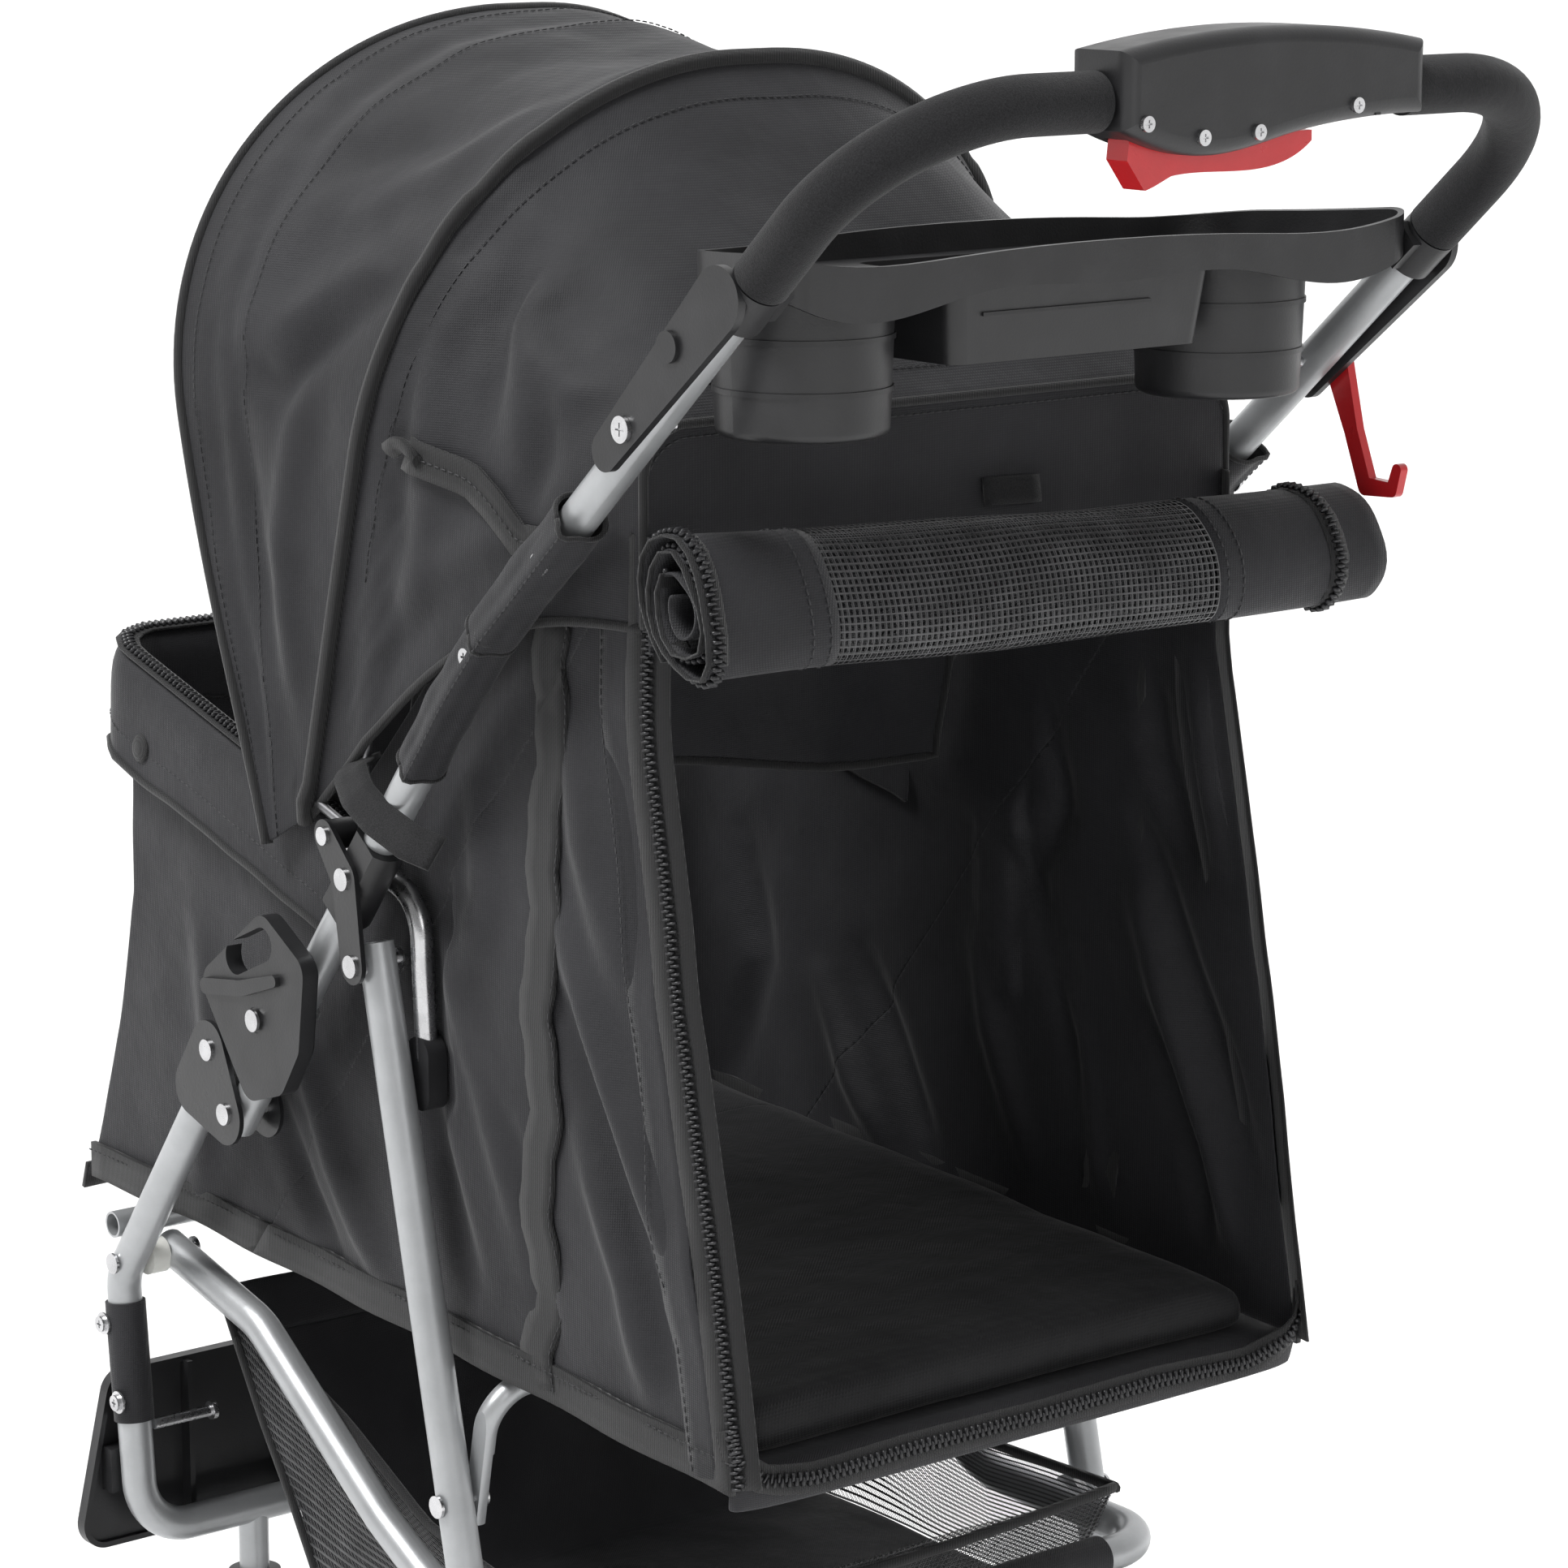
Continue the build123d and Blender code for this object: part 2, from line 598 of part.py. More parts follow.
with BuildPart() as front_rivets:
    rivet(bracket_rivet, 186.5, 212.5)
    rivet(fold_pivot, 186.5, 212.5)
    rivet(rail_pivot, 161.5, 209.5)
    mirror(about=Plane.YZ)
save(front_rivets, "front_rivets")

with BuildPart() as leg_sleeves:
    sleeve_ends = [travel(front_leg_knee, shin_way, d) for d in (14, 78)]
    tube([at_side(side_x, at) for at in sleeve_ends], [], 10.6)
    tube([at_side(side_x, at) for at in sleeve_ends], [], tube_r + fit, mode=Mode.SUBTRACT)
    for at in leg_screws_at:
        pin(at, 2 + fit, 185, 215, mode=Mode.SUBTRACT)
    mirror(about=Plane.YZ)
save(leg_sleeves, "leg_sleeves")

with BuildPart() as leg_screws:
    for at in leg_screws_at:
        screw(at, 2, 4.2, 196, 212)
        pin(at, 6, 211, 212)
    mirror(about=Plane.YZ)
save(leg_screws, "leg_screws")

with BuildPart() as footplate:
    with BuildSketch(Plane.XZ.offset(288)) as tread:
        with BuildLine():
            FilletPolyline((-206, 292), (206, 292), (228, 196), (-228, 196), radius=14, close=True)
        make_face()
    extrude(amount=4)
    with BuildSketch(Plane.XZ.offset(288)) as skirt:
        add(tread.sketch)
        offset(amount=-3, mode=Mode.SUBTRACT)
    extrude(skirt.sketch, amount=-3)
    for x in range(-160, 161, 64):
        with Locations((x, -284, 244)):
            Box(3, 8, 92)
    for x in (-side_x, side_x):
        with Locations((x, -283, 240)):
            Box(22, 10, 24)
    tube(front_path, [25, 28, 28, 25], tube_r + fit, mode=Mode.SUBTRACT)
save(footplate, "footplate")

with BuildPart() as footplate_rods:
    rod_at = travel(front_leg_knee, shin_way, 81)
    rod_at = (rod_at[0] + 5.5, rod_at[1])
    pin(rod_at, 3, 157, 191.6)
    pin(rod_at, 5, 154.5, 157)
    tube(front_path, [25, 28, 28, 25], tube_r + fit, mode=Mode.SUBTRACT)
    mirror(about=Plane.YZ)
save(footplate_rods, "footplate_rods")

with BuildPart() as floor_tube_front:
    pin((-280, 374), 7, -205, 205)
    pin((-280, 374), 5.8, -206, 206, mode=Mode.SUBTRACT)
    tube(front_path, [25, 28, 28, 25], tube_r + fit, mode=Mode.SUBTRACT)
save(floor_tube_front, "floor_tube_front")

# --- Casters and wheels ---------------------------------------------------------------------------

wheel_y = front_cross[0] + caster_trail


def wheel_hub(x, y, bore):
    """Moulded hub with a boss, a rim and five windows."""
    rim = wheel_r - tyre_depth
    pin((y, wheel_r), rim, x - 12, x + 12)
    for face in (-1, 1):
        pin((y, wheel_r), rim - 5, x + face * 3, x + face * 13, mode=Mode.SUBTRACT)
    pin((y, wheel_r), 12, x - 15, x + 15)
    for step in range(5):
        turn = radians(90 + 72 * step)
        window = (y + 31 * cos(turn), wheel_r + 31 * sin(turn))
        pin(window, 11, x - 15, x + 15, mode=Mode.SUBTRACT)
    pin((y, wheel_r), bore, x - 20, x + 20, mode=Mode.SUBTRACT)


def wheel_tyre(x, y):
    """Rounded foam-rubber tyre on the hub's rim."""
    with BuildSketch(Plane(origin=(x, y, wheel_r), x_dir=(1, 0, 0), z_dir=(0, -1, 0))) as section:
        with BuildLine():
            inner = wheel_r - tyre_depth + fit
            edge = wheel_width / 2
            Polyline((-12, inner), (12, inner), (edge, inner + 4), (edge, wheel_r - 5))
            ThreePointArc((edge, wheel_r - 5), (0, wheel_r), (-edge, wheel_r - 5))
            Polyline((-edge, wheel_r - 5), (-edge, inner + 4), (-12, inner))
        make_face()
    revolve(section.sketch, axis=Axis((x, y, wheel_r), (1, 0, 0)))


for word, side in (("left", 1), ("right", -1)):
    x = side * caster_x
    with BuildPart() as caster_fork:
        with Locations((x, front_cross[0], 170)):
            Cylinder(4.95, 40)
        with Locations((x, front_cross[0], 160.7)):
            Cylinder(14, 21)
        with Locations((x, front_cross[0] + 6, 147)):
            Box(42, 40, 7)
        for leg in (-1, 1):
            inner, outer = sorted((x + leg * 17, x + leg * 21))
            lobes([((wheel_y, wheel_r), 11), ((front_cross[0] + 6, 146), 4), ((front_cross[0] - 10, 146), 4)],
                  inner, outer)
            pin((wheel_y, wheel_r), front_axle_r, inner, outer, mode=Mode.SUBTRACT)
        with Locations((x, front_cross[0], 130)):
            Box(33.9, 40, 27, mode=Mode.SUBTRACT)
        pin((wheel_y, wheel_r), front_axle_r, x - 21.5, x + 21.5)
        pin((wheel_y, wheel_r), 7, x - 25, x - 21)
        pin((wheel_y, wheel_r), 7, x + 21, x + 25)
    save(caster_fork, f"caster_fork_{word}")

    with BuildPart() as front_hub:
        wheel_hub(x, wheel_y, front_axle_r + fit)
    save(front_hub, f"front_hub_{word}")

    with BuildPart() as front_tyre:
        wheel_tyre(x, wheel_y)
    save(front_tyre, f"front_tyre_{word}")

    with BuildPart() as rear_hub:
        wheel_hub(side * rear_wheel_x, rear_axle_at[0], rear_axle_r + fit)
    save(rear_hub, f"rear_hub_{word}")

    with BuildPart() as rear_tyre:
        wheel_tyre(side * rear_wheel_x, rear_axle_at[0])
    save(rear_tyre, f"rear_tyre_{word}")

# --- Rear frame and brakes ------------------------------------------------------------------------

leg_line = [at_side(rear_leg_x, rear_leg_top), at_side(rear_leg_x, rear_leg_foot)]
with BuildPart() as rear_legs:
    tube(leg_line, [], tube_r)
    tube(leg_line, [], tube_r - tube_wall, mode=Mode.SUBTRACT)
    for hole in (rear_pivot, floor_rivet, open_pivot):
        pin(hole, rivet_hole, 180, 215, mode=Mode.SUBTRACT)
    pin(rear_axle_at, rear_axle_r + fit, 180, 215, mode=Mode.SUBTRACT)
    mirror(about=Plane.YZ)
save(rear_legs, "rear_legs")

with BuildPart() as rear_axle:
    pin(rear_axle_at, rear_axle_r, -241, 241)
    for side in (-1, 1):
        pin(rear_axle_at, 14, side * 240.3, side * 242)
        pin(rear_axle_at, 8, side * 208.2, side * 209.7)
save(rear_axle, "rear_axle")

with BuildPart() as floor_tube_rear:
    drop_x = 184.6
    foot = (floor_rivet[0] - 2, floor_rivet[1] - 10)
    drop = [(drop_x, foot[0], foot[1] - 2), (drop_x, 32, 361)]
    tube(both_ends(drop), [24, 24], 6)
    for side in (-1, 1):
        flat = sorted((side * 187.4, side * 199))
        with Locations((sum(flat) / 2, 30, 325)):
            Box(flat[1] - flat[0], 60, 110, mode=Mode.SUBTRACT)
        flat = sorted((side * 182.0, side * 170))
        with Locations((sum(flat) / 2, 30, 300)):
            Box(flat[1] - flat[0], 60, 56, mode=Mode.SUBTRACT)
        pin(floor_rivet, rivet_hole, side * 175, side * 190, mode=Mode.SUBTRACT)
save(floor_tube_rear, "floor_tube_rear")

brake_pivot = (97.0, 82.0)
with BuildPart() as brake_brackets:
    upright = travel(rear_axle_at, rear_way, -36)
    lobes([(rear_axle_at, 16), (upright, 13)], 186, 208)
    for x_from, x_to in ((186, 190), (204, 208)):
        lobes([(rear_axle_at, 14), (brake_pivot, 8), (upright, 10)], x_from, x_to)
    tube(leg_line, [], tube_r + fit, mode=Mode.SUBTRACT)
    pin(rear_axle_at, rear_axle_r + fit, 180, 215, mode=Mode.SUBTRACT)
    pin(brake_pivot, rivet_hole, 180, 215, mode=Mode.SUBTRACT)
    mirror(about=Plane.YZ)
save(brake_brackets, "brake_brackets")

for word, side in (("left", 1), ("right", -1)):
    with BuildPart() as brake_lever:
        inner, outer = sorted((side * 190.4, side * 203.6))
        lobes([(brake_pivot, 8), ((120, 80), 4)], inner, outer)
        lobes([((122, 80), 4), ((148, 74), 3)], inner, outer)
        pin(brake_pivot, rivet_hole, side * 185, side * 210, mode=Mode.SUBTRACT)
    save(brake_lever, f"brake_lever_{word}")

with BuildPart() as rear_rivets:
    rivet(floor_rivet, 182, 207)
    rivet(brake_pivot, 186, 208, head=5)
    pin(open_pivot, rivet_r, 187, 207)
    pin(open_pivot, 5.5, 206.5, 208)
    pin(open_pivot, 10, 181.6, 187.9)
    mirror(about=Plane.YZ)
save(rear_rivets, "rear_rivets")

# --- Lower rail -----------------------------------------------------------------------------------

rail_start = travel(rail_pivot, direction(rail_pivot, (-190, 336)), -7)
rail_path = both_ends([at_side(rail_x, at) for at in (rail_start, (-190, 336), (-80, 262), (-15, 229), rail_rear)])
rail_bends = [45, 60, 60, 30, 30, 60, 60, 45]
with BuildPart() as lower_rail:
    tube(rail_path, rail_bends, tube_r, tube_wall)
    pin(rail_pivot, rivet_hole, -190, 190, mode=Mode.SUBTRACT)
save(lower_rail, "lower_rail")

with BuildPart() as rail_sleeve:
    pin(rail_rear, 10.6, -132, 132)
    pin(rail_rear, tube_r + fit, -133, 133, mode=Mode.SUBTRACT)
save(rail_sleeve, "rail_sleeve")

with BuildPart() as rail_spacers:
    pin(rail_pivot, 9.5, rail_x + tube_r - 0.6, 190.6)
    pin(rail_pivot, rivet_hole, 175, 195, mode=Mode.SUBTRACT)
    tube([at_side(rail_x, rail_start), (rail_x, -210, 340.6)], [], tube_r + fit, mode=Mode.SUBTRACT)
    mirror(about=Plane.YZ)
save(rail_spacers, "rail_spacers")
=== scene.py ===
import bmesh
import bpy
import json
from math import cos, exp, pi, radians, sin
from mathutils.bvhtree import BVHTree
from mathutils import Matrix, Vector, noise


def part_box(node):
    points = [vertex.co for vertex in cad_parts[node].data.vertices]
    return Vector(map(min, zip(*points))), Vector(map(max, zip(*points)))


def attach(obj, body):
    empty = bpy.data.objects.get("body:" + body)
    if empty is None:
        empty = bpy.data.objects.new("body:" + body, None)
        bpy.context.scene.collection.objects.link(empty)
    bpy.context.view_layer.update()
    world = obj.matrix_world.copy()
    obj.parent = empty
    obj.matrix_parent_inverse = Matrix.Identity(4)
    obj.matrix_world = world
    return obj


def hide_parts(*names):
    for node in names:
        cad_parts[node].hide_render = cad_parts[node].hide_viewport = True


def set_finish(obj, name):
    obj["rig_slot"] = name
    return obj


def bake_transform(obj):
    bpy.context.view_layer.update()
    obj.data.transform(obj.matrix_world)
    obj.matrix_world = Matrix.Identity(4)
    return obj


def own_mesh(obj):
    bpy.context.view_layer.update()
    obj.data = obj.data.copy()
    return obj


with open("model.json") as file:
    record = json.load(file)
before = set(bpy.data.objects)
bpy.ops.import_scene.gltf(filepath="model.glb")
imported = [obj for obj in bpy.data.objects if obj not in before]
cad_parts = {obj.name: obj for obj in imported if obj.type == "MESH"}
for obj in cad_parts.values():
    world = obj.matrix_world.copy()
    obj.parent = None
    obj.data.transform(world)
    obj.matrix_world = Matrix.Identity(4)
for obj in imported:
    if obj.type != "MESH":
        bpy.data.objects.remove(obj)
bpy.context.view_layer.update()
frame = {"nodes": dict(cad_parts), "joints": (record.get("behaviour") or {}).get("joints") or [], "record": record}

# Lengths are metres in the model's frame: +X its left, -Y the way it travels, +Z up.
# Side-view points are (y, z) pairs.

JOINTS = {joint["name"]: joint for joint in frame["joints"]}
REAR_PIVOT = Vector(JOINTS["rear_leg_fold"]["pos_m"])
HANDLE_WAY = Vector((0, 0.6225, 0.7826))
CRUMPLE_WAY = Vector((0, -0.7826, 0.6225))
CLOTH = 0.0012
CABIN_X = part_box("cabin_side_left")[1].x
RIM_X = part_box("rim_tube")[1].x - 0.0055
CANOPY_AXIS_Z = 0.80
HOOD_AXIS_Z = 0.76
ARCH_STEPS = 144


# --- Materials ------------------------------------------------------------------------------------

class Nodes:
    """A material's node tree with short calls for adding and joining nodes."""

    def __init__(self, name, color, rough, metal=0.0, sheen=0.0, coat=0.0, specular=0.5):
        self.material = bpy.data.materials.new(name)
        self.material.use_nodes = True
        self.tree = self.material.node_tree
        self.shader = self.tree.nodes["Principled BSDF"]
        self.set(self.shader, {
            "Base Color": (*color, 1), "Roughness": rough, "Metallic": metal, "Sheen Weight": sheen,
            "Sheen Roughness": 0.4, "Coat Weight": coat, "Specular IOR Level": specular,
        })
        coords = self.tree.nodes.new("ShaderNodeTexCoord")
        self.place = coords.outputs["Object"]

    def set(self, node, values):
        for key, value in values.items():
            node.inputs[key].default_value = value

    def add(self, kind, values=None, links=None, **options):
        node = self.tree.nodes.new(kind)
        for key, value in options.items():
            setattr(node, key, value)
        self.set(node, values or {})
        for key, source in (links or {}).items():
            self.tree.links.new(source, node.inputs[key])
        return node

    def noise(self, scale, detail=4.0, rough=0.5):
        node = self.add("ShaderNodeTexNoise", {"Scale": scale, "Detail": detail, "Roughness": rough},
                        {"Vector": self.place})
        return node.outputs["Fac"]

    def band(self, turn, scale):
        """Straight ribs across the direction that turn (Euler degrees) gives."""
        mapping = self.add("ShaderNodeMapping", {"Rotation": tuple(radians(a) for a in turn)},
                           {"Vector": self.place})
        wave = self.add("ShaderNodeTexWave", {"Scale": scale, "Distortion": 0.0},
                        {"Vector": mapping.outputs[0]}, wave_profile="SIN", bands_direction="X")
        return wave.outputs["Fac"]

    def math(self, kind, a, b):
        node = self.add("ShaderNodeMath", operation=kind)
        for slot, value in ((0, a), (1, b)):
            if isinstance(value, (int, float)):
                node.inputs[slot].default_value = value
            else:
                self.tree.links.new(value, node.inputs[slot])
        return node.outputs[0]

    def ramp(self, source, low, high, start=0.3, end=0.7):
        """Colour between two others as source rises from start to end."""
        node = self.add("ShaderNodeValToRGB", links={"Fac": source})
        node.color_ramp.elements[0].position = start
        node.color_ramp.elements[0].color = (*low, 1)
        node.color_ramp.elements[1].position = end
        node.color_ramp.elements[1].color = (*high, 1)
        return node.outputs["Color"]

    def level(self, source, low, high):
        node = self.add("ShaderNodeMapRange", {"To Min": low, "To Max": high}, {"Value": source})
        return node.outputs[0]

    def bump(self, layers):
        """Chained bumps given as (height, distance in metres, strength)."""
        normal = None
        for height, distance, strength in layers:
            links = {"Height": height}
            if normal is not None:
                links["Normal"] = normal
            node = self.add("ShaderNodeBump", {"Distance": distance, "Strength": strength}, links)
            normal = node.outputs[0]
        self.tree.links.new(normal, self.shader.inputs["Normal"])

    def drive(self, socket, source):
        self.tree.links.new(source, self.shader.inputs[socket])


def shade(color, factor):
    return tuple(min(1.0, c * factor) for c in color)


def cloth_material(name, color, rib=0.0011, crease=0.6, sheen=0.12, rough=0.66):
    """Plain-woven polyester: crossed ribs, soft creases and slight fading."""
    m = Nodes(name, color, rough, sheen=sheen, specular=0.32)
    scale = 1 / (rib * 20)
    across = m.band((0, 0, 45), scale * 20 / pi)
    up = m.band((0, 90, 0), scale * 20 / pi)
    weave = m.math("MULTIPLY", across, up)
    creases = m.noise(9, 3, 0.55)
    pucker = m.noise(55, 3, 0.6)
    m.drive("Base Color", m.ramp(m.noise(14, 5), shade(color, 0.85), shade(color, 1.25)))
    m.drive("Roughness", m.level(m.noise(40, 2), rough - 0.1, rough + 0.1))
    m.bump([(creases, 0.02, 0.30 * crease), (pucker, 0.004, 0.35 * crease), (weave, 0.0003, 0.6)])
    return m.material


def mesh_material(name, color, cell=0.0034, thread=0.26):
    """Open square netting laid out by the sheet's own lengths."""
    m = Nodes(name, color, 0.5, sheen=0.1, specular=0.45)
    coords = m.add("ShaderNodeTexCoord")
    split = m.add("ShaderNodeSeparateXYZ", links={"Vector": coords.outputs["UV"]})
    across = m.math("FRACT", m.math("MULTIPLY", split.outputs[0], 1 / cell), 0.0)
    up = m.math("FRACT", m.math("MULTIPLY", split.outputs[1], 1 / cell), 0.0)
    nearest = m.math("MINIMUM", across, up)
    m.drive("Alpha", m.math("LESS_THAN", nearest, thread))
    m.drive("Base Color", m.ramp(m.noise(60, 3), shade(color, 0.7), shade(color, 1.5)))
    m.bump([(m.noise(12, 2), 0.01, 0.3)])
    return m.material


def webbing_material(name, color):
    """Ribbed narrow tape."""
    m = Nodes(name, color, 0.6, sheen=0.2, specular=0.4)
    ribs = m.math("MULTIPLY", m.band((0, 90, 0), 700), m.band((0, 0, 45), 420))
    m.drive("Base Color", m.ramp(ribs, shade(color, 0.7), shade(color, 1.5)))
    m.bump([(ribs, 0.0005, 0.8)])
    return m.material


def plastic_material(name, color, rough=0.42, grain=900, coat=0.0, wear=1.5):
    """Moulded plastic with a fine spark-eroded grain and rubbed patches."""
    m = Nodes(name, color, rough, coat=coat, specular=0.5)
    m.drive("Base Color", m.ramp(m.noise(35, 6), color, shade(color, wear), 0.45, 0.75))
    m.drive("Roughness", m.level(m.noise(60, 5), rough - 0.1, rough + 0.12))
    m.bump([(m.noise(grain, 2), 0.0003, 0.25), (m.noise(60, 2), 0.001, 0.08)])
    return m.material


def painted_tube_material(name, color):
    """Satin powder coat with faint orange peel, scuffs and dust."""
    m = Nodes(name, color, 0.36, metal=0.55, coat=0.15)
    m.drive("Base Color", m.ramp(m.noise(22, 8, 0.62), shade(color, 0.88), shade(color, 1.12)))
    m.drive("Roughness", m.level(m.noise(45, 6, 0.6), 0.26, 0.48))
    m.bump([(m.noise(700, 2), 0.0003, 0.12), (m.noise(90, 6), 0.0006, 0.08)])
    return m.material


def steel_material(name, color, rough=0.22):
    """Bright drawn steel with fine lengthwise scratches."""
    m = Nodes(name, color, rough, metal=1.0)
    m.drive("Base Color", m.ramp(m.noise(60, 6), shade(color, 0.8), shade(color, 1.1)))
    m.drive("Roughness", m.level(m.noise(160, 8, 0.7), rough - 0.08, rough + 0.2))
    m.bump([(m.noise(500, 4), 0.0002, 0.12)])
    return m.material


def foam_material(name, color):
    """Closed-cell foam with small open pores and a dull skin."""
    m = Nodes(name, color, 0.88, sheen=0.15, specular=0.25)
    pores = m.noise(1500, 3, 0.7)
    m.drive("Base Color", m.ramp(pores, shade(color, 0.6), shade(color, 1.9), 0.35, 0.7))
    m.bump([(pores, 0.0006, 0.6), (m.noise(120, 3), 0.0015, 0.2)])
    return m.material


BLACK = (0.019, 0.019, 0.0215)
CLOTH_BLACK = cloth_material("woven_black", BLACK)
# Floor-pad cloth at about half the tone of the other black cloth: the extra darkness is painted shade of the dim
# cabin floor.
PAD_CLOTH_PAINTED_SHADE = cloth_material("pad_black_painted_shade", (0.009, 0.009, 0.010), rib=0.0014, crease=0.8)
BINDING = webbing_material("binding_black", (0.010, 0.010, 0.011))
WEBBING = webbing_material("webbing_black", (0.013, 0.013, 0.014))
# Netting threads set light grey: partly the threads' own grey, partly a painted highlight standing in for their
# glints.
MESH = mesh_material("open_mesh_painted_glint", (0.060, 0.060, 0.062), thread=0.20)
THREAD = plastic_material("thread_black", (0.028, 0.028, 0.030), rough=0.6)
ZIP_TEETH = plastic_material("zip_nylon", (0.020, 0.020, 0.022), rough=0.35)
VELCRO = foam_material("hook_and_loop", (0.016, 0.016, 0.017))
FINISHES = {
    "frame_silver": painted_tube_material("silver_powder_coat", (0.43, 0.44, 0.45)),
    "steel_bright": steel_material("bright_steel", (0.62, 0.62, 0.63)),
    "spring_wire": steel_material("spring_wire", (0.30, 0.30, 0.31), 0.35),
    "black_plastic": plastic_material("black_plastic", (0.013, 0.013, 0.014), 0.38),
    "black_steel": plastic_material("black_steel_paint", (0.011, 0.011, 0.012), 0.3, 500, 0.1),
    "hub_plastic": plastic_material("hub_plastic", (0.018, 0.018, 0.019), 0.45),
    "red_plastic": plastic_material("red_plastic", (0.50, 0.012, 0.016), 0.3, 700, 0.3, 1.15),
    "nylon_white": plastic_material("white_nylon", (0.72, 0.72, 0.68), 0.5, 500, 0.0, 1.05),
    "foam_grip": foam_material("foam_grip", (0.013, 0.013, 0.014)),
    "tyre_foam": foam_material("tyre_foam", (0.016, 0.016, 0.017)),
    "cloth_black": CLOTH_BLACK,
    "cloth_pad": PAD_CLOTH_PAINTED_SHADE,
    "cloth_basket": CLOTH_BLACK,
}
for part in frame["record"]["subparts"]:
    node = frame["nodes"][part["node"]]
    for place in node.material_slots:
        place.material = FINISHES[part["material_slot"]]
    if not node.material_slots:
        node.data.materials.append(FINISHES[part["material_slot"]])


# --- Mesh helpers ---------------------------------------------------------------------------------

def at(x, point):
    """3-D point on the plane x for a side-view (y, z) point."""
    return Vector((x, point[0], point[1]))


def along(points, t):
    """Point at share t of a polyline's length."""
    points = [Vector(p) for p in points]
    spans = [(b - a).length for a, b in zip(points, points[1:])]
    left = max(0.0, min(1.0, t)) * sum(spans)
    for a, b, span in zip(points, points[1:], spans):
        if left <= span or b is points[-1]:
            return a.lerp(b, left / span)
        left -= span
    return points[-1]


def new_piece(name, verts, faces, material):
    mesh = bpy.data.meshes.new(name)
    mesh.from_pydata([tuple(v) for v in verts], [], faces)
    mesh.validate()
    mesh.materials.append(material)
    for face in mesh.polygons:
        face.use_smooth = True
    piece = bpy.data.objects.new(name, mesh)
    bpy.context.scene.collection.objects.link(piece)
    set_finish(piece, "cloth_black")
    return piece


def grid(name, rows, material, closed=False):
    """Sheet through rows of points; closed joins the last point of each row to its first.
    Its UVs are lengths along the sheet, so woven patterns keep their size."""
    wide = len(rows[0])
    verts = [p for row in rows for p in row]
    down = [0.0]
    for a, b in zip(rows, rows[1:]):
        down.append(down[-1] + (Vector(b[wide // 2]) - Vector(a[wide // 2])).length)
    spots = []
    for r, row in enumerate(rows):
        run = 0.0
        for c, p in enumerate(row):
            if c:
                run += (Vector(p) - Vector(row[c - 1])).length
            spots.append((run, down[r]))
    faces = []
    for r in range(len(rows) - 1):
        for c in range(wide if closed else wide - 1):
            d = (c + 1) % wide
            faces.append((r * wide + c, r * wide + d, (r + 1) * wide + d, (r + 1) * wide + c))
    piece = new_piece(name, verts, faces, material)
    layer = piece.data.uv_layers.new(name="lengths")
    for loop in piece.data.loops:
        layer.data[loop.index].uv = spots[loop.vertex_index]
    return piece


def apply_modifiers(piece):
    graph = bpy.context.evaluated_depsgraph_get()
    mesh = bpy.data.meshes.new_from_object(piece.evaluated_get(graph))
    old = piece.data
    piece.modifiers.clear()
    piece.data = mesh
    bpy.data.meshes.remove(old)


def thicken(piece, thickness=CLOTH, levels=1):
    solid = piece.modifiers.new("thick", "SOLIDIFY")
    solid.thickness = thickness
    solid.offset = 0.0
    if levels:
        smooth = piece.modifiers.new("smooth", "SUBSURF")
        smooth.levels = levels
        smooth.render_levels = levels
    apply_modifiers(piece)
    for face in piece.data.polygons:
        face.use_smooth = True


def area_of(piece):
    return sum(face.area for face in piece.data.polygons)


def cloth_piece(name, rows, material):
    """Thin cloth sheet through rows of points."""
    piece = grid(name, rows, material)
    thicken(piece)
    return piece


def rope(name, points, radius, material, sides=8, flatten=1.0):
    """Round cord or piping of a mesh tube through points."""
    points = [Vector(p) for p in points]
    rows = []
    side = None
    for i, p in enumerate(points):
        way = (points[min(i + 1, len(points) - 1)] - points[max(i - 1, 0)]).normalized()
        if side is None:
            side = way.orthogonal().normalized()
        side = (side - way * side.dot(way)).normalized()
        up = way.cross(side)
        rows.append([p + side * (radius * cos(2 * pi * k / sides)) + up * (radius * flatten * sin(2 * pi * k / sides))
                     for k in range(sides)])
    piece = grid(name, rows, material, closed=True)
    mesh = bmesh.new()
    mesh.from_mesh(piece.data)
    mesh.verts.ensure_lookup_table()
    for row in (range(sides), range(len(mesh.verts) - sides, len(mesh.verts))):
        mesh.faces.new([mesh.verts[i] for i in row])
    bmesh.ops.recalc_face_normals(mesh, faces=mesh.faces)
    mesh.to_mesh(piece.data)
    mesh.free()
    return piece


def ribbon(name, points, normal, width, material, thickness=0.0012):
    """Flat tape along points; its face looks along normal, a direction or one direction per point."""
    points = [Vector(p) for p in points]
    normals = normal if isinstance(normal, list) else [normal] * len(points)
    rows = []
    for i, p in enumerate(points):
        way = (points[min(i + 1, len(points) - 1)] - points[max(i - 1, 0)]).normalized()
        across = way.cross(Vector(normals[i])).normalized() * (width / 2)
        rows.append([p - across, p - across * 0.4, p + across * 0.4, p + across])
    piece = grid(name, rows, material)
    thicken(piece, thickness, 0)
    return piece


def resample(points, step):
    """Evenly spaced points along a polyline."""
    points = [Vector(p) for p in points]
    length = sum((b - a).length for a, b in zip(points, points[1:]))
    count = max(2, round(length / step))
    return [along(points, k / count) for k in range(count + 1)]


